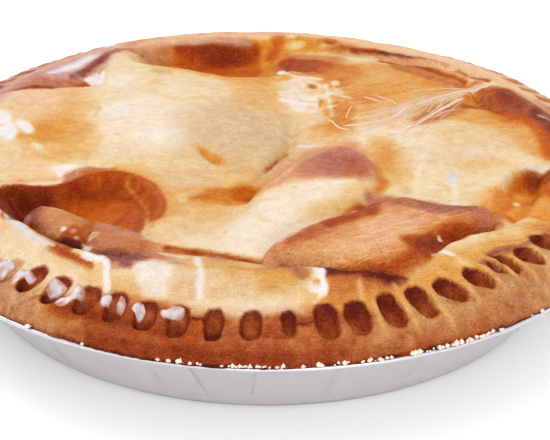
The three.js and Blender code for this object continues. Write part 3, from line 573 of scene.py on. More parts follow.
     (12.2, -93.4), (12.4, -91.5)]),
    ("pink", 0.8, 0.4, (14.9, -92.4, 1.1, 0.8, 0)),
    ("milk", 0.9, 0.3, (9.7, -88.6, 1.2, 1.1, 0)),
    ("toast", 1, 0.4, (11.5, -89.9, 1.2, 1.6, 0)),
    # far right hollow
    ("brick", 0.8, 2, [(72, 42), (78, 42), (84, 36), (88, 26), (86, 19), (82, 20), (78, 27), (73, 34)]),
    ("chestnut", 0.6, 1.5, [(77, 38), (82, 36), (86, 28), (84, 24), (80, 30)]),
    ("brick", 0.5, 1.2, (72.4, 46.8, 2.2, 1.6, 20)),
    # front fold, apron and the band at the right
    ("toast", 0.4, 3, [(8, -74), (14, -71), (24, -66), (28, -64), (26, -70), (20, -74), (12, -78)]),
    ("toast", 0.5, 2, (8.5, -91.5, 2.4, 3.4, 0)),
    ("brick", 0.55, 3, [(40, -108), (52, -103), (61, -97)], 3),
    ("brick", 0.3, 3, [(61, -97), (68, -91), (76, -84)], 3),
    ("toast", 0.6, 1.5, (84, -54, 4, 3, 0)),
    # painted shade beside the foot of the front fold
    ("plum", 0.6, 1, [(5, -84), (9.5, -86.5), (11.5, -90)], 1.4),
    # cracked edge above the middle fold
    ("toast", 0.8, 0.5, [(0, -17.5), (2.5, -12.4), (5, -7), (7.4, -2)], 0.45),
    ("chestnut", 0.6, 0.3, [(0.7, -16.1), (2.8, -11.6), (4.4, -8.2)], 0.3),
    # foot and left end of the far hollow
    ("apricot", 0.45, 1.5, [(-33, 72.5), (-28, 71.5), (-22, 70.5)], 2),
    ("mauve", 0.5, 1.2, (-43.5, 73.5, 3, 2.2, 0)),
    # streaks left of the navel, and the right end of the right hollow
    ("golden", 0.5, 3, [(-28, -34.6), (-19, -34.4), (-11, -34)], 2),
    ("orange", 0.45, 1.5, [(-16, -34.2), (-11, -33.8), (-7, -33.6)], 1.4),
    ("chestnut", 0.55, 2, (87, -22.5, 5, 3.6, 0)),
    ("orange", 0.7, 2.5, (88, -30, 5, 5, 0)),
    # front apron and left shoulder
    ("cream", 0.7, 3, [(-26, -78), (-10, -80), (6, -85), (12, -90), (10, -97), (-8, -98), (-24, -97)]),
    ("golden", 0.35, 3, [(-12, -80), (0, -82), (10, -87), (12, -93), (2, -95), (-8, -90)]),
    ("golden", 0.8, 2.5, [(-16, -80), (-4, -82), (10, -86), (12, -92), (0, -93), (-14, -90)]),
    ("amber", 0.7, 2, [(-8, -84), (0, -87), (8, -89)], 2),
    ("toast", 0.8, 1.6, [(1, -85), (6, -87), (12, -88.5)], 1.6),
    # painted shade beside the foot of the front fold
    ("plum", 0.5, 1.2, [(4, -84), (9, -87), (11, -91)], 1.2),
    ("peach", 0.5, 2, (-19, -91, 4, 3, 0)),
    ("amber", 0.45, 2.5, (4, -92, 4, 3, 0)),
    ("toast", 0.5, 1.5, (3, -94, 2, 1, 0)),
    ("biscuit", 0.7, 2, (-6, -92, 6, 3, 0)),
    ("cream", 0.6, 2, (-13, -88, 3, 5, 0)),
    ("rust", 0.7, 2, [(-56, -92), (-48, -96), (-38, -100.5), (-28, -104), (-18, -106)], 3),
    ("chestnut", 0.7, 1.6, [(-54, -94), (-50, -95.5), (-41, -100), (-32, -103), (-25, -105)], 2),
    ("cream", 0.8, 3, [(-80, -60), (-72, -62), (-58, -77), (-44, -86), (-46, -92), (-62, -84),
     (-78, -70)]),
    ("pale", 0.6, 3, (2, -98, 5, 1.6, 5)),
    ("tan", 0.4, 4, [(-36, -84), (-22, -80), (0, -82), (10, -87), (8, -98), (-20, -98), (-34, -94)]),
    ("golden", 0.6, 2.5, (-19, -83.5, 5, 3, -10)),
    ("salmon", 0.7, 1.2, [(-33, -78.5), (-27, -79.5), (-22, -80.5)], 1.2),
    # painted shade in the groove
    ("plum", 0.8, 0.8, [(-40, -81), (-36, -80), (-33, -81), (-34, -84), (-38, -85)]),
    # glaze drips, their white partly painted highlights
    ("milk", 0.75, 1.6, [(-35.4, -84), (-34.2, -81.1), (-31.9, -79), (-29.1, -78.9), (-26.2, -80),
     (-24.2, -84.6), (-24.6, -88.7), (-25.2, -91.4), (-25.4, -93.9), (-27.6, -95), (-29.8, -95),
     (-32.1, -94), (-33.3, -91), (-34.6, -88.3)]),
    ("milk", 0.85, 0.9, [(-17.7, -77), (-17.4, -84), (-16.9, -90), (-16.8, -95)], 1.0),
    # thin cracks in the rim
    ("mahogany", 0.85, 0.4, [(10, -105), (12.2, -104.9), (14.3, -104.2)], 0.4),
    ("mahogany", 0.8, 0.4, [(-18.5, -101.8), (-15.5, -102.1)], 0.4),
    ("chestnut", 0.6, 0.4, [(1, -108.6), (5, -109), (8.7, -108.6)], 0.4),
]


def smoothMax(a, b, width):
    near = np.maximum(width - np.abs(a - b), 0) / width
    return np.maximum(a, b) + near * near * width / 4


def smoothMin(a, b, width):
    return -smoothMax(-a, -b, width)


def smoothStep(low, high, value):
    share = np.clip((value - low) / (high - low), 0, 1)
    return share * share * (3 - 2 * share)


def fadeEnds(share, start, end):
    # Fades a line out at both ends, over these shares of its length.
    return smoothStep(0, start, share) * smoothStep(0, end, 1 - share)


def throughPoints(points, closed, perSpan=6):
    # A smooth curve through the points, as a list of short straight steps.
    p = np.array(points, float)
    if closed:
        p = np.concatenate([p[-1:], p, p[:2]])
    else:
        p = np.concatenate([2 * p[:1] - p[1:2], p, 2 * p[-1:] - p[-2:-1]])
    t = np.arange(perSpan)[:, None] / perSpan
    spans = []
    for a, b, c, d in zip(p, p[1:], p[2:], p[3:]):
        spans.append(((2 * b) + (c - a) * t + (2 * a - 5 * b + 4 * c - d) * t ** 2
                      + (3 * b - a - 3 * c + d) * t ** 3) / 2)
    curve = np.concatenate(spans)
    return np.concatenate([curve, curve[:1] if closed else p[-2:-1]])


def nearCurve(x, y, curve):
    # Distance to the nearest step, the side of it (left is positive) and the share of the way along.
    nearest = np.full_like(x, np.inf)
    side = np.zeros_like(x)
    share = np.zeros_like(x)
    steps = len(curve) - 1
    for i, (a, b) in enumerate(zip(curve, curve[1:])):
        dx, dy = b - a
        length = dx * dx + dy * dy + 1e-12  # never quite nothing
        t = np.clip(((x - a[0]) * dx + (y - a[1]) * dy) / length, 0, 1)
        ex, ey = x - a[0] - t * dx, y - a[1] - t * dy
        distance = ex * ex + ey * ey
        closer = distance < nearest
        nearest = np.where(closer, distance, nearest)
        side = np.where(closer, dx * (y - a[1]) - dy * (x - a[0]), side)
        share = np.where(closer, (i + t) / steps, share)
    return np.sqrt(nearest), np.sign(side), share


def insideDistance(x, y, outline):
    # Distance to a closed outline, positive inside it.
    curve = throughPoints(outline, True)
    nearest = nearCurve(x, y, curve)[0]
    inside = np.zeros(x.shape, bool)
    for a, b in zip(curve, curve[1:]):
        if a[1] != b[1]:
            crosses = (a[1] > y) != (b[1] > y)
            inside ^= crosses & (x < (b[0] - a[0]) * (y - a[1]) / (b[1] - a[1]) + a[0])
    return np.where(inside, nearest, -nearest)


def within(x, y, points, margin):
    p = np.array(points, float)
    low, high = p.min(0) - margin, p.max(0) + margin
    return (x > low[0]) & (x < high[0]) & (y > low[1]) & (y < high[1])


def formHeight(x, y, form, direction):
    # A rounded form inside its outline: direction 1 stands up from its plane, -1 sinks below it.
    (middleX, middleY), (slopeX, slopeY) = form["middle"], form["slope"]
    plane = form["height"] + (x - middleX) * slopeX + (y - middleY) * slopeY
    distance = insideDistance(x, y, form["outline"])
    share = np.clip(distance / form["roll"], 0, 1)
    edge = form["rise"] * (1 - np.sqrt(1 - (1 - share) ** 2)) + np.maximum(-distance, 0) * lid["steep"]
    return plane - direction * edge


def applyForms(z, x, y, forms, direction):
    for form in forms.values():
        here = within(x, y, form["outline"], lid["formReach"])
        height = formHeight(x[here], y[here], form, direction)
        blend = smoothMax if direction > 0 else smoothMin
        z[here] = blend(z[here], height, lid["blend"])
    return z


def lidHeight(x, y):
    z = np.full_like(x, lid["level"])
    for cx, cy, reachX, reachY, height in swells.values():
        z += height * np.exp(-((x - cx) / reachX) ** 2 - ((y - cy) / reachY) ** 2)
    for points, drop, run in edges.values():
        here = within(x, y, points, run * 3)
        distance, side, share = nearCurve(x[here], y[here], throughPoints(points, False))
        beyond = smoothStep(0, lid["edgeWidth"], side * distance)
        z[here] -= drop * beyond * np.exp(-distance / run) * fadeEnds(share, *lid["edgeEnds"])
    return z


def rimHeight(radius, angle):
    degrees = np.degrees(angle)
    tables = (rim["innerShift"], rim["fullness"], rim["sunk"])
    shift, full, sunk = (np.interp(degrees, *zip(*table), period=360) for table in tables)
    inner = radius - shift * (1 - smoothStep(*rim["shiftFade"], radius))
    lift = rim["liftMean"] + rim["liftSwing"] * np.cos(angle - math.radians(rim["liftTowards"]))
    waver = rim["waver"] * sum(np.sin(count * angle + start) for count, start in rim["waves"]) / 2
    outer = rimSection[-1][0]
    fade = np.clip((outer - radius) / (outer - rim["bandOuter"]), 0, 1)
    band = smoothStep(*rim["fullFrom"], radius) * smoothStep(0, 1, fade)
    sunk = sunk * smoothStep(*rim["sunkFade"], radius)
    return np.interp(inner, *zip(*rimSection)) + (lift + waver) * fade + full * band - sunk


# The mark of the steam slit on the left sheet, a shallow torn dent.
slit = {
    "x": -17, "y": -12,
    "along": 7, "across": 2.2,  # half lengths
    "turn": -58,  # degrees
    "depth": 1.4,
}


def crustHeight(x, y):
    radius, angle = np.hypot(x, y), np.arctan2(y, x)
    z = lidHeight(x, y)
    z = applyForms(z, x, y, hollows, -1)
    z -= lid["tuck"] * smoothStep(lid["tuckStart"], rim["bandInner"], radius)
    z = smoothMax(rimHeight(radius, angle), z, lid["blend"])
    z = applyForms(z, x, y, folds, 1)
    for points, depth, half in creases.values():
        here = within(x, y, points, half * 2)
        distance, _, share = nearCurve(x[here], y[here], throughPoints(points, False))
        z[here] -= depth * fadeEnds(share, *lid["creaseEnds"]) * np.exp(-(distance / half) ** 2 * 2)
    turn = math.radians(slit["turn"])
    u = ((x - slit["x"]) * math.cos(turn) + (y - slit["y"]) * math.sin(turn)) / slit["along"]
    v = ((y - slit["y"]) * math.cos(turn) - (x - slit["x"]) * math.sin(turn)) / slit["across"]
    return z - slit["depth"] * np.clip(1 - u * u - v * v, 0, None)


# Slots pressed round the rim: those in sight at their own angles, the rest at an even pitch.
slots = {
    # Angle, inner and outer radius, width, depth, and lean in degrees.
    "seen": [
        (-128.6, 98.8, 108.2, 5.8, 2.8, -8), (-123.4, 99.2, 108.6, 6.2, 3.0, -4),
        (-117.6, 99.4, 108.8, 6.4, 3.2, 0),
        (-112.6, 99.2, 108.6, 6.0, 3.0, 3), (-107.5, 99.8, 109.2, 6.4, 3.4, 6),
        (-102.3, 100.0, 110.2, 6.2, 3.2, 4),
        (-96.9, 99.8, 110.0, 5.4, 3.2, 4), (-91.3, 100.4, 110.0, 6.2, 3.0, 0),
        (-85.8, 101.0, 109.0, 4.4, 2.6, 2),
        (-80.1, 100.0, 110.2, 6.8, 2.8, 4), (-75.3, 100.0, 110.2, 6.8, 2.8, 6),
        (-69.9, 99.0, 109.8, 7.0, 2.8, 14),
        (-64.6, 98.6, 109.2, 6.6, 2.8, 24), (-59.2, 97.8, 107.8, 6.0, 2.8, 42),
        (-53.3, 97.6, 107.2, 5.8, 2.8, 48),
        (-47.6, 96.8, 106.8, 6.0, 2.8, 54), (-41.9, 98.6, 107.8, 5.6, 2.8, 48),
        (-36.6, 97.8, 106.6, 5.6, 2.8, 40),
    ],
    "count": 66,
    "inner": 99.6,  # radii of the ends, width and depth of those out of sight
    "outer": 108.6,
    "width": 6.0,
    "depth": 1.3,
    "jitter": 0.5,  # degrees that those stray from an even pitch
    "settle": 2.5,  # slots over which the lean dies away
    "spread": (0.6, 0.9, 0.3),  # how far width, ends and depth vary
    "seed": 4,
    "reach": 0.12,  # radians to either side that a slot can fill
    "squareness": (2.6, 3.4, 2.8),  # powers of the outline: across, along, and of the two together
    "band": (92, 112.5),  # radii that hold all slots
    "none": -9.0,  # distance inside a slot where there is none
    "wander": (2.4, 0.5, 23),  # of the outline along the slots: size, amount and seed
    "sway": (2.2, 0.0045, 24),  # of the outline across them, in radians
    "wall": 1.2,  # width that the side walls slope over
    "shallow": 0.5,  # share of the depth that the inner end has: the fork was pressed in from outside
    "deep": 1.15,  # the same at the outer end
    "ramp": 0.9,  # how far along the floor slopes
    "lip": 0.35,  # raised edge round each slot
    "lipPlace": 0.7,
    "lipWidth": 0.8,
    "ridgeGap": 2.5,  # how far a ridge between slots pushes their edges apart
    # the slots in sight are darker the deeper they are: browning and painted shade together
    "burntAndShadedFrom": (1.4, 2.4),  # depths over which a slot's floor begins to catch
}
# Dough pulled up into rounded ridges between the slots on the right: points, half width and height.
ridges = [
    ([(29.8, -93), (31.5, -99), (33.2, -104), (35, -107)], 0.8, 0.9),
    ([(36, -88), (38.2, -93.5), (41.4, -99.5), (44.6, -104.5)], 0.9, 1.1),
    ([(45, -86), (47.8, -92), (51.4, -97), (55.4, -101)], 0.8, 1.0),
    ([(42.8, -81.8), (49.9, -82.6), (55.6, -84.2), (59.2, -88.0), (61, -92)], 0.9, 1.1),
    ([(49.7, -78.4), (57.4, -76.9), (63.0, -78.6), (67.8, -83.2), (69, -86)], 0.9, 1.2),
    ([(58, -74), (64, -74), (69.6, -76.4), (74.2, -81.0)], 0.7, 0.7),
    ([(71.2, -71.8), (75.5, -74.0), (79.5, -78)], 0.8, 1.0),
    ([(76.3, -64.5), (80, -66.6), (84.5, -71)], 0.8, 1.0),
]
ridgeEnds = (0.2, 0.25)  # shares of their length over which they rise and die away
# Lower edge of the pastry: it hangs over the flange at the front and stops short of it elsewhere.
skirt = {
    "section": [(113.0, 30.6), (113.9, 29.6), (114.3, 28.4), (114.1, 27.6), (112.6, 27.45)],
    "reach": 0.9,  # how much further out it hangs at the front
    "reachTowards": -97,  # degrees
    "reachSpread": 24,  # degrees
    "drop": 0.5,
    "short": -0.2,  # how far it stops short elsewhere
    "ragged": (5, 0.5, 21),  # unevenness of the edge: size, amount and seed
    "frayed": (1.6, 0.3, 22),
    "from": (109, 113),  # radii over which all this sets in
    "browned": (29.9, 28.4),  # heights between which it darkens
}
# Unevenness of the baked surface: size across, height, seed.
relief = {
    "warp": (11, 0.9, 11),  # sideways wander of every outline
    "warpAcross": (11, 0.9, 16),
    "calm": 0.7,  # how much less of it the rim has
    "calmFrom": (90, 100),
    "swell": (16, 0.45, 12),
    "blister": (4.2, 0.22, 13),
    "grain": (1.7, 0.09, 14),
}
lattice = {"cells": 256, "shift": (57.3, 91.7), "nextSeed": 31}  # the shift keeps its lines off the middle


def latticeNoise(x, y, size, seed):
    # Smooth random values from -1 to 1 on a seeded lattice.
    cells, (shiftX, shiftY) = lattice["cells"], lattice["shift"]
    table = np.random.default_rng(seed).random((cells, cells))
    u, v = x / size + shiftX, y / size + shiftY
    i, j = np.floor(u).astype(int), np.floor(v).astype(int)
    fu, fv = u - i, v - j
    fu, fv = fu * fu * (3 - 2 * fu), fv * fv * (3 - 2 * fv)
    i, j, nextI, nextJ = (k % cells for k in (i, j, i + 1, j + 1))
    near = table[i, j] * (1 - fu) + table[nextI, j] * fu
    far = table[i, nextJ] * (1 - fu) + table[nextI, nextJ] * fu
    return 2 * (near * (1 - fv) + far * fv) - 1


def layeredNoise(x, y, size, seed, layers=3):
    # Each layer is half as wide and half as strong as the one before.
    total = 0
    for k in range(layers):
        total = total + latticeNoise(x, y, size / 2 ** k, seed + lattice["nextSeed"] * k) / 2 ** k
    return total / (2 - 2.0 ** (1 - layers))


def unevenness(x, y, form, layers=3):
    size, amount, seed = form
    return amount * layeredNoise(x, y, size, seed, layers)


def slotTable():
    # Angle, inner and outer radius, half width, depth and lean of every slot, sorted by angle.
    draws = np.random.default_rng(slots["seed"])
    seen = np.array(slots["seen"])
    others = slots["count"] - len(seen)
    gap = (360 - (seen[-1, 0] - seen[0, 0])) / (others + 1)
    width, ends, depth = slots["spread"]
    order = np.arange(1, others + 1)
    hidden = np.stack([
        seen[-1, 0] + gap * order + draws.uniform(-slots["jitter"], slots["jitter"], others),
        slots["inner"] + draws.uniform(-ends, ends, others),
        slots["outer"] + draws.uniform(-ends, ends, others),
        slots["width"] + draws.uniform(-width, width, others),
        slots["depth"] + draws.uniform(-depth, depth, others),
        seen[-1, 5] * np.exp(-order / slots["settle"]),
    ], 1)
    table = np.concatenate([seen, hidden])
    table[:, 0] = np.radians((table[:, 0] + 180) % 360 - 180)
    table[:, 3] /= 2
    table[:, 5] = np.radians(table[:, 5])
    return table[np.argsort(table[:, 0])]


def nearSlots(radius, angle):
    # Distance inside the nearest slot's edge, the place along it (-1 inner end, 1 outer end) and its depth.
    inside, place, depth = np.full_like(radius, slots["none"]), np.zeros_like(radius), np.zeros_like(radius)
    wide, long, both = slots["squareness"]
    for turn, inner, outer, half, deep, lean in slotTable():
        past = (angle - turn + np.pi) % (2 * np.pi) - np.pi
        here = np.abs(past) < slots["reach"]
        sideways, outwards = past[here] * radius[here], radius[here] - (inner + outer) / 2
        across = (sideways * math.cos(lean) - outwards * math.sin(lean)) / half
        along = (outwards * math.cos(lean) + sideways * math.sin(lean)) / (outer - inner) * 2
        distance = (1 - (np.abs(across) ** wide + np.abs(along) ** long) ** (1 / both)) * half
        closer = distance > inside[here]
        inside[here] = np.where(closer, distance, inside[here])
        place[here] = np.where(closer, along, place[here])
        depth[here] = np.where(closer, deep, depth[here])
    return inside, place, depth


def ridgeShares(x, y):
    # How much of a ridge of pulled dough there is, and its height.
    share, height = np.zeros_like(x), np.zeros_like(x)
    for points, half, rise in ridges:
        here = within(x, y, points, half * 3)
        distance, _, along = nearCurve(x[here], y[here], throughPoints(points, False))
        mask = np.exp(-(distance / half) ** 2) * fadeEnds(along, *ridgeEnds)
        share[here] = np.maximum(share[here], mask)
        height[here] = np.maximum(height[here], mask * rise)
    return share, height


def ringCount(radius, step):
    return max(8, int(round(2 * math.pi * radius / step)))


def skinRings(counts):
    # Triangles between closed rings of any counts, each joined to the next by angle.
    faces = []
    first = 0
    for near, far in zip(counts, counts[1:]):
        second = first + near
        a = b = 0
        nearSteps, farSteps = near * (near > 1), far * (far > 1)
        while a < nearSteps or b < farSteps:
            if b >= farSteps or (a < nearSteps and (a + 1) * far <= (b + 1) * near):
                faces.append((first + a % near, first + (a + 1) % near, second + b % far))
                a += 1
            else:
                faces.append((first + a % near, second + (b + 1) % far, second + b % far))
                b += 1
        first = second
    return faces


def linear(hexColour):
    parts = [int(hexColour[i:i + 2], 16) / 255 for i in (1, 3, 5)]
    return tuple(c / 12.92 if c <= 0.04045 else ((c + 0.055) / 1.055) ** 2.4 for c in parts)


# Ragged edges of the stains and painted marks, as shares of their softness, and the lace that milk left:
# size, amount, seed.
raggedEdge = {
    "broad": (9, 0.5, 41),
    "fine": (3, 0.12, 42),
    "lace": (4, 4, 43),
    "laceGaps": 0.6,  # mm off its threads
    "margin": (3, 6),  # how far round its place a stain still counts: times its softness, plus mm
}


def markMask(x, y, soft, place, extra):
    # How strongly each mark, stain and painted light alike, shows: 1 inside it, fading over its soft,
    # ragged edge.
    lacy = "lace" in extra
    if isinstance(place, tuple):
        cx, cy, reachX, reachY, turn = place
        cos, sin = math.cos(math.radians(turn)), math.sin(math.radians(turn))
        dx, dy = x - cx, y - cy
        along, across = (dx * cos + dy * sin) / reachX, (dy * cos - dx * sin) / reachY
        depth = (1 - np.hypot(along, across)) * min(reachX, reachY)
    elif extra and not lacy:
        depth = extra[0] - nearCurve(x, y, throughPoints(place, False))[0]
    else:
        depth = insideDistance(x, y, place)
    if lacy:
        depth = np.minimum(depth, unevenness(x, y, raggedEdge["lace"]) - raggedEdge["laceGaps"])
    depth += soft * (unevenness(x, y, raggedEdge["broad"], 2) + unevenness(x, y, raggedEdge["fine"], 2))
    return smoothStep(-soft, soft, depth)


def markReach(place):
    # Points that the mark lies between.
    if isinstance(place, list):
        return place
    cx, cy, reachX, reachY, _ = place
    reach = max(reachX, reachY)
    return [(cx - reach, cy - reach), (cx + reach, cy + reach)]


# Where the browning changes: radii or degrees over which it sets in, and in a second pair dies away again.
browning = {
    "unlit": (0.67, 0.657, 0.656),  # the tones are lit ones, and this brings them to the crust's own colour
    "shoulder": (92, 99),
    "outerBand": (97, 104),
    "front": ((-121, -111), (-70, -86)),
    "left": (-109, -119),
    "right": (-86, -66),
    "darkEdge": ((-121, -111), (-48, -62)),
    "darkBand": ((-118, -110), (-74, -86)),
    "back": ((2, 22), (140, 110)),
    "backFrom": (90, 94),
    "backReach": 5,  # how much further in it comes
    "backReachFrom": (28, 48),
    "backMiddle": ((30, 50), (105, 90)),
    "backMiddleFrom": (96, 99),
    "backLeft": ((115, 135), (175, 160)),
    "backLeftFrom": (89, 93),
    "lid": (97, 90),
    "lightSlots": (-96, -84),
    "landsWithin": ((96, 99), (104.5, 101)),
    "paleLands": ((-104, -97), (-78, -86)),
    "goldenLands": ((-86, -78), (-30, -50)),
}
# Uneven browning: size in mm and seed of the noise, and the values over which a patch sets in.
uneven = {
    "biscuit ground": (17, 51, -0.3, 0.5),
    "golden ground": (9, 52, 0.15, 0.8),
    "burnt band": (9, 63, -0.3, 0.8),
    "tan band": (6, 64, 0.1, 0.7),
    "pale band": (6, 55, 0.1, 0.7),
    "speckled band": (2.6, 58, 0.25, 0.8),
    "milk flecks": (2.2, 71, 0.35, 0.8),
    "yolk flecks": (3.1, 72, 0.4, 0.8),
}


def crustTones(x, y, slotDepth, slotPlace, burntAndShaded, ridge, edgeShare):
    # Colour of every vertex: the plain crust, the rim, then the stains and painted light, then the slots.
    # Tones mix as densities, so that browning passes through warm tones and never through grey.
    tone = {name: np.log(linear(colour)) for name, colour in tones.items()}
    radius, turn = np.hypot(x, y), np.degrees(np.arctan2(y, x))
    density = np.tile(tone["cream"], (len(x), 1))

    def lay(name, share):
        density[:] = density + (tone[name] - density) * share[:, None]

    def noise(size, seed):
        return layeredNoise(x, y, size, seed)

    def patchy(name):
        size, seed, low, high = uneven[name]
        return smoothStep(low, high, noise(size, seed))

    def between(name, value):
        rise, fall = browning[name]
        return smoothStep(*rise, value) * smoothStep(*fall, value)

    def past(name, value):
        return smoothStep(*browning[name], value)

    lay("biscuit", patchy("biscuit ground") * 0.8)
    lay("golden", patchy("golden ground") * 0.45)
    front = between("front", turn)
    band = past("outerBand", radius + 1.5 * noise(6, 53))
    lay("golden", past("shoulder", radius) * 0.6)
    lay("toast", band * (0.55 + 0.3 * front + 0.3 * noise(8, 57)))
    lay("taupe", band * (past("right", turn) + past("left", turn)) * (0.7 + 0.5 * noise(11, 62)))
    lay("brick", band * front * (0.65 + 0.5 * noise(5, 54)))
    lay("chestnut", band * front * patchy("burnt band") * 0.6)
    lay("tan", band * front * patchy("tan band") * 0.6)
    lay("biscuit", patchy("pale band") * band * (0.5 - 0.2 * front))
    lay("chestnut", patchy("speckled band") * band * 0.35)
    times, beyond = raggedEdge["margin"]
    for name, strength, soft, place, *extra in stainsAndPaintedLight:
        layers = [(name, strength, soft)]
        if name in bleeds:
            outer, wider, share = bleeds[name]
            layers.insert(0, (outer, strength * share, soft * wider))
        for layer, full, edge in layers:
            here = within(x, y, markReach(place), times * edge + beyond)
            share = np.zeros_like(x)
            share[here] = full * markMask(x[here], y[here], edge, place, extra)
            lay(layer, share)
    # The lower edge is browner, in blotches, with a nearly burnt line where it meets the foil.
    blotch = 0.45 * noise(7, 59) + 0.25 * noise(2.4, 60)
    low = radius + 3 * blotch
    darkEdge, darkBand = between("darkEdge", turn), between("darkBand", turn)
    lay("brick", smoothStep(108, 112.5, low) * darkBand * 0.4)
    rolled = smoothStep(112.4, 114.2, low) * darkEdge
    lay("chestnut", smoothStep(110, 114, low) * darkBand * 0.35 + rolled * 0.3)
    lay("chestnut", smoothStep(0.3, 1.0, edgeShare + blotch) * edgeShare * (0.15 + 0.55 * darkEdge))
    lay("char", smoothStep(0.8, 1.2, edgeShare + blotch) * edgeShare * (0.1 + 0.5 * darkEdge))
    # The back of the rim is pale, with a painted rosy sheen on its left, where the rim is seen at a grazing
    # angle.
    reach = radius + browning["backReach"] * past("backReachFrom", turn)
    lay("peach", between("back", turn) * past("backFrom", reach) * 0.85)
    lay("shell", between("backMiddle", turn) * past("backMiddleFrom", radius) * 0.4)
    lay("rose", between("backLeft", turn) * past("backLeftFrom", radius) * 0.7)
    # Flecks of milk and of yolk.
    lay("milk", patchy("milk flecks") * past("lid", radius) * 0.22)
    lay("amber", patchy("yolk flecks") * past("lid", radius) * 0.16)
    # The inner end of a slot is golden brown and the outer end darker, browning and painted shade together;
    # a rust line runs round the edge, and a painted shadow line along the inner end.
    floor = smoothStep(-0.25, 0.2, slotDepth) * (0.15 + 0.85 * burntAndShaded)
    speckle = 0.6 * noise(2.4, 56)
    lighter = past("lightSlots", turn)
    darkEnd = slotPlace * (1 - 2 * lighter) + speckle
    lay("rust", smoothStep(-0.7, -0.1, slotDepth) * burntAndShaded * 0.35)
    lay("brick", floor * 0.95)
    lay("chestnut", floor * (0.35 + 0.5 * smoothStep(-0.6, 0.4, darkEnd)))
    lay("mahogany", floor * smoothStep(0.0, 1.0, darkEnd) * (0.9 - 0.3 * lighter))
    outline = np.exp(-((slotDepth - 0.15) / 0.35) ** 2) * burntAndShaded
    lay("mahogany", outline * smoothStep(0.4, -0.4, slotPlace) * 0.6)
    lay("toast", smoothStep(0.7, 1.5, slotDepth) * smoothStep(0.2, -0.7, darkEnd) * burntAndShaded * 0.6)
    # Ridges and the lands between the slots are lighter: paler dough, with a painted highlight on their
    # tops.
    lay("biscuit", ridge * 0.6)
    lay("golden", ridge * 0.5)
    inwards, outwards = browning["landsWithin"]
    lands = (1 - floor) * smoothStep(*outwards, radius + 1.5 * speckle) * smoothStep(*inwards, radius)
    lay("pale", lands * between("paleLands", turn) * 0.75)
    lay("golden", lands * between("goldenLands", turn) * 0.6)
    return np.exp(density) * np.array(browning["unlit"])


# Where the grain of the pastry shows as streaks, along the folds or out from the middle.
grain = {
    "direction": 30,  # degrees, along the front fold and the pulled strands on the right
    # Strength and outline.
    "along": [
        (1.0, [(0, -80), (8, -66), (24, -54), (40, -42), (70, -40), (72, -52), (50, -70), (38, -86),
               (16, -84)]),
        (0.9, [(20, 10), (40, 12), (60, 20), (78, 34), (76, 50), (60, 62), (36, 66), (20, 40)]),
        (0.5, [(40, -36), (30, -10), (34, 8), (60, 16), (84, 10), (86, -14), (70, -36)]),
        (0.8, [(48, -80), (62, -64), (78, -52), (84, -60), (66, -80), (52, -88)]),
    ],
    "edge": 3,  # mm over which a patch of it sets in
    "radialFrom": (76, 84),  # radii where the rim's radial streaks begin
}


def grainShares(x, y):
    along = np.zeros_like(x)
    for strength, outline in grain["along"]:
        here = within(x, y, outline, grain["edge"] + 1)
        share = np.zeros_like(x)
        depth = insideDistance(x[here], y[here], outline)
        share[here] = strength * smoothStep(-grain["edge"], grain["edge"], depth)
        along = np.maximum(along, share)
    radial = smoothStep(*grain["radialFrom"], np.hypot(x, y)) * (1 - along)
    return along, radial


def bakedSurface(x, y):
    # Height of the crust, places that its tones go by, and shares of slots, of their darkening, which is
    # browning and painted shade together, and of ridges.
    radius, angle = np.hypot(x, y), np.arctan2(y, x)
    calm = 1 - relief["calm"] * smoothStep(*relief["calmFrom"], radius)
    wx = x + calm * unevenness(x, y, relief["warp"])
    wy = y + calm * unevenness(x, y, relief["warpAcross"])
    z = crustHeight(wx, wy)
    inside, place, burntAndShaded = np.full_like(z, slots["none"]), np.zeros_like(z), np.zeros_like(z)
    band = (radius > slots["band"][0]) & (radius < slots["band"][1])
    wander = unevenness(x[band], y[band], slots["wander"])
    sway = unevenness(x[band], y[band], slots["sway"])
    inside[band], place[band], depth = nearSlots(radius[band] + wander, angle[band] + sway)
    burntAndShaded[band] = smoothStep(*slots["burntAndShadedFrom"], depth)
    ridge, ridgeHeight = ridgeShares(x, y)
    inside -= slots["ridgeGap"] * ridge
    slope = smoothStep(-slots["ramp"], slots["ramp"], place[band])
    profile = slots["shallow"] + (slots["deep"] - slots["shallow"]) * slope
    z[band] -= depth * profile * smoothStep(0, slots["wall"], inside[band])
    z += slots["lip"] * np.exp(-((inside + slots["lipPlace"]) / slots["lipWidth"]) ** 2) + ridgeHeight
    for name in ("swell", "blister", "grain"):
        z += unevenness(x, y, relief[name])
    return z, wx, wy, inside, place, burntAndShaded, ridge


def makeMesh(name, points, faces):
    mesh = bpy.data.meshes.new(name)
    mesh.from_pydata((np.asarray(points) * mm).tolist(), [], faces)
    mesh.polygons.foreach_set("use_smooth", [True] * len(mesh.polygons))
    made = bpy.data.objects.new(name, mesh)
    bpy.context.scene.collection.objects.link(made)
    print(name, "made:", len(mesh.polygons), "faces")
    return made


def paint(mesh, colours):
    layer = mesh.attributes.new("tone", "FLOAT_COLOR", "POINT")
    layer.data.foreach_set("color", np.column_stack([colours, np.ones(len(colours))]).ravel())


# The crust's mesh: mm between its points.
crustMesh = {
    "rimStep": 0.52,
    "lidStep": 0.74,
    "rimFrom": 96,  # radius where the finer part begins
    "innermost": 1.5,  # radius of the last ring about the middle
}


def crustStep(radius):
    return crustMesh["rimStep"] if radius > crustMesh["rimFrom"] else crustMesh["lidStep"]


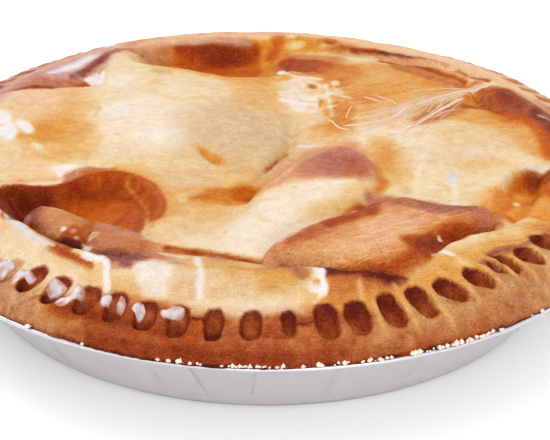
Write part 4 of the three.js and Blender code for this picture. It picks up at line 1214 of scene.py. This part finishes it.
def makeCrust():
    # Rings of points from the turned-under edge inwards. Only the edge has its height given.
    rings = [tuple(point) for point in throughPoints(skirt["section"][::-1], False, 3)]
    radius = rings[-1][0] - crustMesh["rimStep"]
    while radius > crustMesh["innermost"]:
        rings.append((radius, np.nan))
        radius -= crustStep(radius)
    rings.append((0, np.nan))
    counts = [ringCount(r, crustStep(r)) if r else 1 for r, z in rings]
    angles = np.concatenate([np.arange(n) * 2 * np.pi / n for n in counts])
    ringRadius, edgeHeight = (np.repeat(values, counts) for values in zip(*rings))
    turn = (np.degrees(angles) + 180) % 360 - 180

    # The edge wanders in and out, and so does all within a few mm of it.
    front = np.exp(-((turn - skirt["reachTowards"]) / skirt["reachSpread"]) ** 2)
    wrap = np.stack([np.cos(angles), np.sin(angles)]) * rim["edge"]
    ragged = unevenness(*wrap, skirt["ragged"]) + unevenness(*wrap, skirt["frayed"], 2)
    near = smoothStep(*skirt["from"], ringRadius)
    r = ringRadius + (skirt["reach"] * front + skirt["short"] * (1 - front) + ragged) * near
    x, y = r * np.cos(angles), r * np.sin(angles)
    z, wx, wy, slotDepth, slotPlace, burntAndShaded, ridge = bakedSurface(x, y)
    lower = ~np.isnan(edgeHeight)
    bottom, top = skirt["section"][-1][1], skirt["section"][0][1]
    lift = rimHeight(np.full_like(angles, rim["edge"]), angles) - top
    height = np.nan_to_num(edgeHeight)
    z = np.where(lower, height + lift * smoothStep(bottom, top, height), z) - skirt["drop"] * front * near
    crust = makeMesh("pie_crust", np.stack([x, y, z], 1), skinRings(counts))
    edgeShare = np.where(lower, smoothStep(*skirt["browned"], height), 0)
    paint(crust.data, crustTones(wx, wy, slotDepth, slotPlace, burntAndShaded, ridge, edgeShare))
    for name, share in zip(("along", "radial"), grainShares(wx, wy)):
        crust.data.attributes.new(name, "FLOAT", "POINT").data.foreach_set("value", share)
    return crust


crust = makeCrust()
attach(crust, "root")
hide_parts("pie")

# Foil tin: the drawn wall with the folds that bending it left, and a narrow rolled edge.
tin = {
    "footRadius": 91.5,
    "wallTopRadius": 108.4,
    "flangeInner": 110,
    "flangeRadius": 114.2,
    "height": 27.0,
    "foil": 0.6,
    "cornerRise": 1.4,
    "corner": [(-4, 0.35), (-3, 0), (-1.2, 0.1)],  # rounded foot: radius beyond the wall's foot, height
    "baseInner": -3,  # the same radius inside
    "baseRaised": 0.35,  # height of the base above the table
    "beadRadius": 0.7,
    "beadTurns": (-120, -80, -30, 20, 70, 120),  # degrees round the rolled edge
    # Folds: angle at top and foot, shares of the height where they begin and end, depth, and side.
    "folds": [(-127.3, -126.7, 0.1, 0.5, 0.5, 1), (-115.2, -114.4, 0.05, 0.45, 0.4, 1),
              (-108.2, -107.2, 0.05, 0.5, 0.8, 1), (-102.4, -99.2, 0.02, 0.9, 1.0, 1),
              (-90.1, -91.6, 0.2, 0.98, 0.8, -1), (-89.3, -88.2, 0.02, 0.98, 0.8, 1),
              (-84.6, -84.4, 0.1, 0.8, 0.3, 1), (-77.0, -78.6, 0.02, 0.8, 0.8, -1)],
    "foldStart": (-0.06, 0.1),  # shares of the height over which a fold begins, and over which it ends
    "foldEnd": (0.02, -0.14),
    "hiddenFolds": 22,  # as many again round the rest
    "hiddenFrom": -66,  # degrees
    "hiddenTo": 156,
    "hiddenSpots": (0.1, 0.9),  # shares of its even pitch that a fold can lie between
    "hiddenLean": 1.2,  # degrees
    "hiddenStart": (0, 0.3),
    "hiddenEnd": (0.55, 1),
    "hiddenDepth": (0.3, 1.0),
    "seed": 8,
    "gather": 11,  # mm that the foil is drawn in over, beside a fold
    "stepBack": (2.5, 0.5),  # mm that a fold's far side takes to come level, and its share of the depth
    "wander": (14, 0.25, 61),  # of the wall: size, amount and seed
    "wanderRadius": 95,
    "edgeWander": (9, 0.25, 62),
    "levels": 16,  # rings of points up the wall
    "step": 0.5,  # mm between points along the wall
}


def wallFolds():
    draws = np.random.default_rng(tin["seed"])
    count = tin["hiddenFolds"]
    places = (np.arange(count) + draws.uniform(*tin["hiddenSpots"], count)) / count
    angles = tin["hiddenFrom"] + (tin["hiddenTo"] - tin["hiddenFrom"]) * places
    leans = draws.normal(0, tin["hiddenLean"], count)
    starts, ends = draws.uniform(*tin["hiddenStart"], count), draws.uniform(*tin["hiddenEnd"], count)
    depths = draws.uniform(*tin["hiddenDepth"], count)
    sides = draws.choice([-1, 1], count)
    return tin["folds"] + list(zip(angles, angles + leans, starts, ends, depths, sides))


def wallRadius(share, angles, folds):
    # Radius of the wall all round, at that share of its height.
    radius = tin["footRadius"] + (tin["wallTopRadius"] - tin["footRadius"]) * share
    circle = np.stack([np.cos(angles), np.sin(angles)]) * tin["wanderRadius"]
    draw = unevenness(*circle, tin["wander"])
    (startLow, startHigh), (endLow, endHigh) = tin["foldStart"], tin["foldEnd"]
    run, back = tin["stepBack"]
    for top, foot, start, end, depth, side in folds:
        past = (np.degrees(angles) - (foot + (top - foot) * share) + 180) % 360 - 180
        past = np.radians(past) * radius * side
        height = depth * smoothStep(start + startLow, start + startHigh, share)
        height *= smoothStep(end + endLow, end + endHigh, share)
        # A slow swell outwards, then a sharp step back.
        swell = np.clip(1 + past / tin["gather"], 0, 1) ** 2
        draw = draw + height * np.where(past <= 0, swell, -back * np.exp(-np.maximum(past, 0) / run))
    fade = math.sin(math.pi * min(max(share, 0.0), 1.0)) ** 0.5
    return radius + draw * fade


def makeTin():
    columns = ringCount(tin["wallTopRadius"], tin["step"])
    angles = np.arange(columns) * 2 * np.pi / columns
    folds = wallFolds()

    def ringAt(radius, z):
        radius = radius + 0 * angles
        return np.stack([radius * np.cos(angles), radius * np.sin(angles), z + 0 * angles], 1)

    height, foil, foot, bead = tin["height"], tin["foil"], tin["footRadius"], tin["beadRadius"]
    rings = [ringAt(foot + beyond, z) for beyond, z in tin["corner"]]
    for share in np.linspace(0, 1, tin["levels"]):
        z = tin["cornerRise"] + share * (height - tin["cornerRise"] - foil)
        rings.append(ringAt(wallRadius(share, angles, folds), z))
    waver = unevenness(*np.stack([np.cos(angles), np.sin(angles)]) * rim["edge"], tin["edgeWander"])
    for turn in np.radians(tin["beadTurns"]):
        radius = tin["flangeRadius"] + waver + bead * math.cos(turn)
        rings.append(ringAt(radius, height - foil / 2 + bead * math.sin(turn)))
    rings.append(ringAt(tin["flangeInner"], height))
    rings.append(ringAt(tin["wallTopRadius"] - foil, height - foil))
    rings.append(ringAt(foot - foil, tin["cornerRise"] + foil))
    rings.append(ringAt(foot + tin["baseInner"], foil))
    middle = tin["baseRaised"]
    points = np.concatenate([[[0, 0, middle]]] + rings + [[[0, 0, middle + foil]]])
    counts = [1] + [columns] * len(rings) + [1]
    return makeMesh("foil_tin_detail", points, [face[::-1] for face in skinRings(counts)])


foil = makeTin()
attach(foil, "root")
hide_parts("foil_tin")

# Dough pulled into pale strands where the sheets on the right were stretched.
pulled = {
    # Points along each, half width and thickness.
    "drawn": [
        ([(77.0, 43.4), (72.9, 42.6), (66.3, 42.6), (60.1, 39.0), (54.8, 35.2), (49.6, 29.1),
          (45.5, 22.6), (41.4, 19.0)], 0.5, 0.45),
        ([(66.8, 35.2), (61.5, 29.6), (56.5, 24.6), (51.0, 16.3), (48.8, 12.6)], 0.5, 0.45),
        ([(58, 37.5), (51, 31), (45, 22), (38, 16.5), (31.8, 13.5), (24.9, 11.2)], 0.3, 0.3),
        ([(20.8, 20), (21.2, 14), (23.5, 10.6), (27.5, 9.4)], 0.35, 0.35),
        ([(36.5, 38.5), (40.8, 35.2), (44.2, 31.2)], 0.22, 0.25),
        ([(33.0, 36.5), (35.9, 35.0), (38.9, 32.8)], 0.3, 0.3),
        ([(29.0, 30.0), (27.2, 23.2), (26.2, 15.6)], 0.25, 0.25),
    ],
    # The section, as shares of the half width and of the thickness.
    "across": (-1, -0.6, 0, 0.6, 1, 0),
    "rise": (-0.6, 0.7, 1, 0.7, -0.6, -0.8),
    "bluntness": 5,  # of the ends
    "tip": 0.02,  # least share of the full section, squared
    "smooth": 5,  # steps between two of its points
    "fine": 60,  # finer threads scattered beside the first of them, along the same directions
    "beside": 3,  # how many of the first
    "spread": 3.6,  # mm off the strand
    "drift": 2.2,  # mm that the far end strays
    "steps": (7, 20),  # length, in steps of the strand's curve
    "lastStart": 10,  # steps before the strand's end
    "every": 3,  # steps from one of its points to the next
    "fineHalf": (0.06, 0.14),
    "fineThick": 0.25,
    "seed": 12,
}


def drape(lines):
    # Closed strips that lie on the crust: each has its points, half width and thickness.
    points, faces = [], []
    across, rise = np.array(pulled["across"]), np.array(pulled["rise"])
    for place, half, thick in lines:
        curve = throughPoints(place, False, pulled["smooth"])
        along = np.gradient(curve, axis=0)
        along /= np.linalg.norm(along, axis=1)[:, None]
        share = np.linspace(-1, 1, len(curve))
        taper = np.sqrt(np.clip(1 - np.abs(share) ** pulled["bluntness"], pulled["tip"], 1))
        sideways = np.stack([-along[:, 1], along[:, 0]], 1) * (half * taper)[:, None]
        strand = curve[:, None] + sideways[:, None] * across[:, None]
        x, y = strand[..., 0].ravel(), strand[..., 1].ravel()
        z = bakedSurface(x, y)[0] + (thick * taper[:, None] * rise).ravel()
        first = sum(len(p) for p in points)
        points.append(np.stack([x, y, z], 1))
        rows, n = len(curve), len(across)
        for i in range(rows - 1):
            for j in range(n):
                a, b = first + i * n + j, first + i * n + (j + 1) % n
                faces.append((a, b, b + n, a + n))
        faces.append(tuple(first + j for j in range(n))[::-1])
        faces.append(tuple(first + (rows - 1) * n + j for j in range(n)))
    return np.concatenate(points), faces


def fineThreads():
    draws = np.random.default_rng(pulled["seed"])
    lines = []
    for _ in range(pulled["fine"]):
        curve = throughPoints(pulled["drawn"][draws.integers(0, pulled["beside"])][0], False)
        start = draws.integers(0, max(1, len(curve) - pulled["lastStart"]))
        stop = min(len(curve), start + int(draws.integers(*pulled["steps"])))
        offset = draws.normal(0, pulled["spread"], 2)
        drift = np.linspace(0, 1, stop - start)[:, None] * draws.normal(0, pulled["drift"], 2)
        part = (curve[start:stop] + offset + drift)[::pulled["every"]]
        if len(part) > 2:
            lines.append((part, draws.uniform(*pulled["fineHalf"]), pulled["fineThick"]))
    return lines


strands = makeMesh("pulled_strands", *drape(pulled["drawn"] + fineThreads()))
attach(strands, "root")

# Thick white glaze that ran into the slots on the left; part of its white is a painted highlight.
glazing = {
    # Outline and thickness of every blob.
    "blobs": [
        ([(-75.4, -69.4), (-73.3, -70.6), (-71.4, -70.8), (-70.0, -73.3), (-70.7, -74.6), (-71.9, -75.4),
          (-73.4, -76.7), (-75.2, -76)], 0.7),
        ([(-71.0, -80.5), (-70.2, -78.6), (-69.3, -76.6), (-67.6, -76.1), (-65.9, -76.9), (-63.9, -78.0),
          (-63.4, -79.1), (-65.0, -80.1), (-66.5, -79.2), (-68.1, -79.9), (-69.4, -81.2),
          (-70.1, -81.5)], 0.6),
        ([(-59.9, -85.7), (-59.5, -83.2), (-58.4, -81.7), (-56.3, -82.8), (-54.1, -85.0), (-54.4, -86.4),
          (-56.0, -87.1), (-57.6, -86.9)], 0.7),
        ([(-57.3, -91.6), (-56.6, -90.1), (-54.7, -90.8), (-53.3, -89.1), (-51.7, -87.7), (-51.0, -85.7),
          (-49.1, -87.2), (-48.4, -89.3), (-50.0, -90.6), (-51.6, -91.3), (-53.0, -92.6), (-55.0, -92.9),
          (-56.4, -92.6)], 0.7),
        ([(-44.4, -93.9), (-43.5, -91.4), (-42.0, -91.0), (-40.8, -92.0), (-41.5, -93.6), (-42.4, -94.6),
          (-43.5, -95.0)], 0.6),
        ([(-39.8, -94.1), (-39.3, -92.3), (-38.2, -91.9), (-37.1, -93.5), (-37.1, -95.6), (-37.9, -96.5),
          (-39.0, -95.6)], 0.6),
        ([(-35.1, -96.2), (-33.9, -94.7), (-32.2, -95.2), (-31.4, -97.1), (-32.5, -98.6), (-33.6, -99.2),
          (-34.5, -98.0)], 0.6),
        ([(-26.8, -100.8), (-27.3, -98.2), (-25.4, -98.3), (-23.9, -97.1), (-20.8, -98.1),
          (-20.9, -99.6), (-22.2, -100.1), (-24.2, -100), (-25.7, -101.3)], 0.5),
    ],
    "rings": (1, 0.85, 0.6, 0.3),  # shares of the way out from the middle
    "wander": (1.1, 0.35, 82),  # of the outline: size, amount and seed
    "lumps": (1.3, 1, 81),
    "lumpHeight": 0.2,  # mm
    "bridging": 0.2,  # how far it fills the slot under it
    "swell": 0.45,  # share of its thickness that stands above the crust in the middle
    "sunkEdge": 0.15,  # share that its edge is below
    "buried": 0.5,  # mm that its underside lies in the crust
    "lumpShare": 0.7,  # how much the lumps change where it is clear
    "clear": (0.95, 0.3),  # from where it begins to be clear to where it is
    "thick": "sugar",
    "thin": "wet sugar",
}


def makeGlaze():
    # Each blob is a closed lens: rings from its outline to its middle, above the crust and just below it.
    points, faces, colours = [], [], []
    shares = np.array(glazing["rings"])
    white, wet = (np.array(linear(tones[glazing[name]])) for name in ("thick", "thin"))
    for outline, thick in glazing["blobs"]:
        curve = throughPoints(outline, True, 5)[:-1]
        middle = curve.mean(0)
        outwards = (curve - middle) / np.linalg.norm(curve - middle, axis=1)[:, None]
        curve = curve + outwards * unevenness(*curve.T, glazing["wander"])[:, None]
        rings = middle + shares[:, None, None] * (curve - middle)
        x, y = np.append(rings[..., 0].ravel(), middle[0]), np.append(rings[..., 1].ravel(), middle[1])
        surface, wx, wy, *_ = bakedSurface(x, y)
        filled = surface + glazing["bridging"] * (crustHeight(wx, wy) - surface)
        dome = np.append(np.repeat(np.sqrt(1 - shares ** 2), len(curve)), 1)
        lumps = unevenness(x, y, glazing["lumps"])
        top = np.maximum(surface, filled) + glazing["swell"] * thick * (dome - glazing["sunkEdge"])
        top += glazing["lumpHeight"] * lumps * dome
        # White where it is thick, and the crust shows through it where it is thin.
        clear = smoothStep(*glazing["clear"], dome + glazing["lumpShare"] * lumps)[:, None]
        colours += [white * (1 - clear) + wet * clear] * 2
        n, first = len(curve), sum(len(p) for p in points)
        count = len(x)
        points += [np.stack([x, y, top], 1), np.stack([x, y, surface - glazing["buried"]], 1)]
        for ring in range(len(shares) - 1):
            for j in range(n):
                a, b = first + ring * n + j, first + ring * n + (j + 1) % n
                faces += [(a, b, b + n, a + n), (a + n + count, b + n + count, b + count, a + count)]
        last, centre = first + (len(shares) - 1) * n, first + count - 1
        for j in range(n):
            k = (j + 1) % n
            faces += [(last + j, last + k, centre), (last + k + count, last + j + count, centre + count)]
            faces.append((first + j, first + j + count, first + k + count, first + k))
    made = makeMesh("white_glaze_and_highlight", np.concatenate(points), faces)
    paint(made.data, np.concatenate(colours))
    return made


glaze = makeGlaze()
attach(glaze, "root")

# Crumbs along the lower edge of the crust.
crumbs = {
    "seed": 21,
    # From and to in degrees, and how many.
    "groups": [(-104, -86, 60), (-88, -54, 70), (-137, -130, 14), (-180, 180, 60)],
    "size": (0.35, 1.1),  # mm
    "radius": 114.5,
    "spread": (-0.4, 0.5),
    "height": 27.5,
    "rise": 0.3,  # share of its size that a crumb's middle is higher
    "uneven": (0.7, 1.3),
    "corners": [(0, 0, 1), (0.9, 0, 0.3), (0.2, 0.9, 0.2), (-0.8, 0.4, 0.4), (-0.5, -0.8, 0.3),
                (0.4, -0.8, 0.4), (0, 0, -0.6)],
    "sides": [(0, 1, 2), (0, 2, 3), (0, 3, 4), (0, 4, 5), (0, 5, 1), (6, 2, 1), (6, 3, 2), (6, 4, 3),
              (6, 5, 4), (6, 1, 5)],
}


def makeCrumbs():
    draws = np.random.default_rng(crumbs["seed"])
    angles = np.concatenate([draws.uniform(low, high, count) for low, high, count in crumbs["groups"]])
    points, faces = [], []
    for angle in np.radians(angles):
        size = draws.uniform(*crumbs["size"])
        radius = crumbs["radius"] + draws.uniform(*crumbs["spread"])
        height = crumbs["height"] + crumbs["rise"] * size
        place = np.array([radius * math.cos(angle), radius * math.sin(angle), height])
        first = len(points)
        for corner in crumbs["corners"]:
            points.append(place + size * np.array(corner) * draws.uniform(*crumbs["uneven"], 3))
        faces += [tuple(first + k for k in side) for side in crumbs["sides"]]
    return makeMesh("crumbs", points, faces)


crumbPiece = makeCrumbs()
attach(crumbPiece, "root")


def node(tree, kind, output=0, **settings):
    # Adds a node with its settings and links, and gives back one of its outputs.
    made = tree.nodes.new("ShaderNode" + kind)
    for key, value in settings.items():
        if key in made.bl_rna.properties:
            setattr(made, key, value)
            continue
        socket = made.inputs[int(key[1:]) if key[0] == "i" and key[1:].isdigit() else key]
        if isinstance(value, bpy.types.NodeSocket):
            tree.links.new(value, socket)
        else:
            socket.default_value = value
    return made.outputs[output]


noiseMiddle, noiseGain = 0.5, 2.6  # noise stays near its middle, and this spreads it to about -1 to 1


def blotches(tree, place, size, detail=2.0):
    # A pattern from -1 to 1 with features of that many mm.
    noise = node(tree, "TexNoise", Vector=place, Scale=1 / (size * mm), Detail=detail)
    centred = node(tree, "Math", operation="SUBTRACT", i0=noise, i1=noiseMiddle)
    return node(tree, "Math", operation="MULTIPLY", i0=centred, i1=noiseGain)


def varied(tree, colour, place, size, drift):
    # A colour whose red, green and blue drift together by so much, in blotches of that many mm.
    pattern = blotches(tree, place, size, 4.0)
    shares = {}
    for axis, part in zip("XYZ", drift):
        shares[axis] = node(tree, "Math", operation="MULTIPLY_ADD", i0=pattern, i1=part, i2=1.0)
    return node(tree, "VectorMath", operation="MULTIPLY", i0=colour, i1=node(tree, "CombineXYZ", **shares))


def newMaterial(name, roughness):
    material = bpy.data.materials.new(name)
    material.use_nodes = True
    tree = material.node_tree
    shader = tree.nodes["Principled BSDF"]
    shader.inputs["Roughness"].default_value = roughness
    return material, tree, shader, node(tree, "TexCoord", "Object")


def plainMaterial(name, colour, roughness, metallic=0, size=5, drift=(0, 0, 0)):
    # A colour, or the painted tone where none is given, drifting by so much in blotches of that many mm.
    material, tree, shader, place = newMaterial(name, roughness)
    base = linear(colour) if colour else node(tree, "Attribute", "Color", attribute_name="tone")
    tree.links.new(varied(tree, base, place, size, drift), shader.inputs["Base Color"])
    shader.inputs["Metallic"].default_value = metallic
    return material


# How the pastry's own texture shows: sizes in mm, strengths as changes of the browning.
texture = {
    "speckle": (0.5, 0.3),
    "mottle": (3.0, 0.2),
    "fibre": (0.5, 5, 0.15),  # width, length, strength
    "streak": (0.6, 10, 0.28),  # width, length, strength
    "radialStreak": (1.6, 9, 0.06),
    "rimRadius": 0.1,  # metres, where the radial streaks have their true width
    "hue": (1.9, (0.035, -0.01, -0.11)),  # how far red, green and blue drift together
    "bump": (0.12, 0.6),  # mm, strength
    "roughness": 0.42,  # egg wash dries to a dull sheen
    "specular": 0.05,
}


def crustMaterial():
    # Baked shortcrust under egg wash: fine-grained and dry, with a soft sheen, browned where the tones say.
    material, tree, shader, place = newMaterial("egg-washed pastry", texture["roughness"])
    speckle = blotches(tree, place, texture["speckle"][0])
    mottle = blotches(tree, place, texture["mottle"][0], 4.0)

    def stretched(vector, width, length):
        # A fine pattern, drawn out along x.
        squeezed = node(tree, "VectorMath", operation="MULTIPLY", i0=vector, i1=(width / length, 1, 1))
        return blotches(tree, squeezed, width, 3.0)

    def where(pattern, name):
        share = node(tree, "Attribute", "Fac", attribute_name=name)
        return node(tree, "Math", operation="MULTIPLY", i0=pattern, i1=share)

    turn = -math.radians(grain["direction"])
    turned = node(tree, "VectorRotate", rotation_type="Z_AXIS", Vector=place, Angle=turn)
    streak = where(stretched(turned, *texture["streak"][:2]), "along")
    fibre = stretched(place, *texture["fibre"][:2])
    # Radial streaks: the pattern is laid out by angle and radius.
    x, y = (node(tree, "SeparateXYZ", axis, Vector=place) for axis in "XY")
    flat = node(tree, "VectorMath", operation="MULTIPLY", i0=place, i1=(1, 1, 0))
    radius = node(tree, "VectorMath", "Value", operation="LENGTH", i0=flat)
    angle = node(tree, "Math", operation="ARCTAN2", i0=y, i1=x)
    width, length = texture["radialStreak"][:2]
    across = node(tree, "Math", operation="MULTIPLY", i0=angle, i1=texture["rimRadius"])
    outwards = node(tree, "Math", operation="MULTIPLY", i0=radius, i1=width / length)
    polar = node(tree, "CombineXYZ", X=across, Y=outwards)
    radial = where(blotches(tree, polar, width, 3.0), "radial")
    # The tone is baked a little more or less: a higher gamma is both darker and redder.
    gamma = 1.0
    names = ("speckle", "mottle", "fibre", "streak", "radialStreak")
    for name, pattern in zip(names, (speckle, mottle, fibre, streak, radial)):
        gamma = node(tree, "Math", operation="MULTIPLY_ADD", i0=pattern, i1=texture[name][-1], i2=gamma)
    tone = node(tree, "Attribute", "Color", attribute_name="tone")
    baked = node(tree, "Gamma", Color=tone, Gamma=gamma)
    # Hue drifts between pink and yellow.
    tree.links.new(varied(tree, baked, place, *texture["hue"]), shader.inputs["Base Color"])
    height = node(tree, "Math", operation="ADD", i0=speckle, i1=streak)
    depth, strength = texture["bump"]
    bump = node(tree, "Bump", Height=height, Distance=depth * mm, Strength=strength)
    tree.links.new(bump, shader.inputs["Normal"])
    shader.inputs["Specular IOR Level"].default_value = texture["specular"]
    return material


# Name, colour, roughness, metallic, size of the blotches in mm, and how far red, green and blue drift.
looks = [
    # Aluminium foil, rolled thin and pressed into shape: pale silver with a satin sheen.
    (foil, "foil", "#CDCACD", 0.35, 0.9, 7, (0.05, 0.05, 0.05)),
    # Unbaked-looking dough, drawn out into threads that stayed paler than the crust.
    (strands, "stretched dough", "#D8BDA6", 0.4, 0, 2, (0, -0.06, -0.1)),
    # Icing sugar that half melted in the steam: wet and shiny, milky where it is thick, that milky white
    # partly a painted highlight.
    (glaze, "sugar glaze", None, 0.25, 0, 1.3, (-0.08, -0.2, -0.2)),
    # Dry flakes and crumbs of the crust: matt.
    (crumbPiece, "crumbs", "#E2CEBE", 0.6, 0, 1.2, (-0.1, -0.25, -0.35)),
]
crust.data.materials.append(crustMaterial())
for piece, *look in looks:
    piece.data.materials.append(plainMaterial(*look))
print("materials made")

# A plain pale floor under soft daylight.
studio = {
    "floorHalf": 3,  # metres
    "floorLook": ("#FAFAFA", 0.6),  # colour and roughness
    "sky": 1.2,
    # Place in metres, size in metres and power in watts.
    "lamps": {"key": ((-0.55, 0.45, 0.9), 0.7, 3), "fill": ((0.2, -0.9, 0.5), 0.8, 3)},
}


def makeStage():
    mesh = bpy.data.meshes.new("floor")
    half = studio["floorHalf"]
    corners = [(-half, -half, 0), (half, -half, 0), (half, half, 0), (-half, half, 0)]
    mesh.from_pydata(corners, [], [(0, 1, 2, 3)])
    floor = bpy.data.objects.new("floor", mesh)
    bpy.context.scene.collection.objects.link(floor)
    mesh.materials.append(plainMaterial("matt white paint", *studio["floorLook"]))
    print("floor made")


def makeLights():
    world = bpy.data.worlds.new("studio")
    world.use_nodes = True
    sky = world.node_tree.nodes["Background"]
    sky.inputs["Color"].default_value = (1, 1, 1, 1)
    sky.inputs["Strength"].default_value = studio["sky"]
    bpy.context.scene.world = world
    for name, (place, size, power) in studio["lamps"].items():
        data = bpy.data.lights.new(name, "AREA")
        data.size, data.energy = size, power
        light = bpy.data.objects.new(name, data)
        light.location = place
        light.rotation_euler = Vector(place).to_track_quat("Z", "Y").to_euler()
        bpy.context.scene.collection.objects.link(light)
    bpy.context.scene.view_settings.view_transform = "Standard"
    print("lights made")


makeStage()
makeLights()
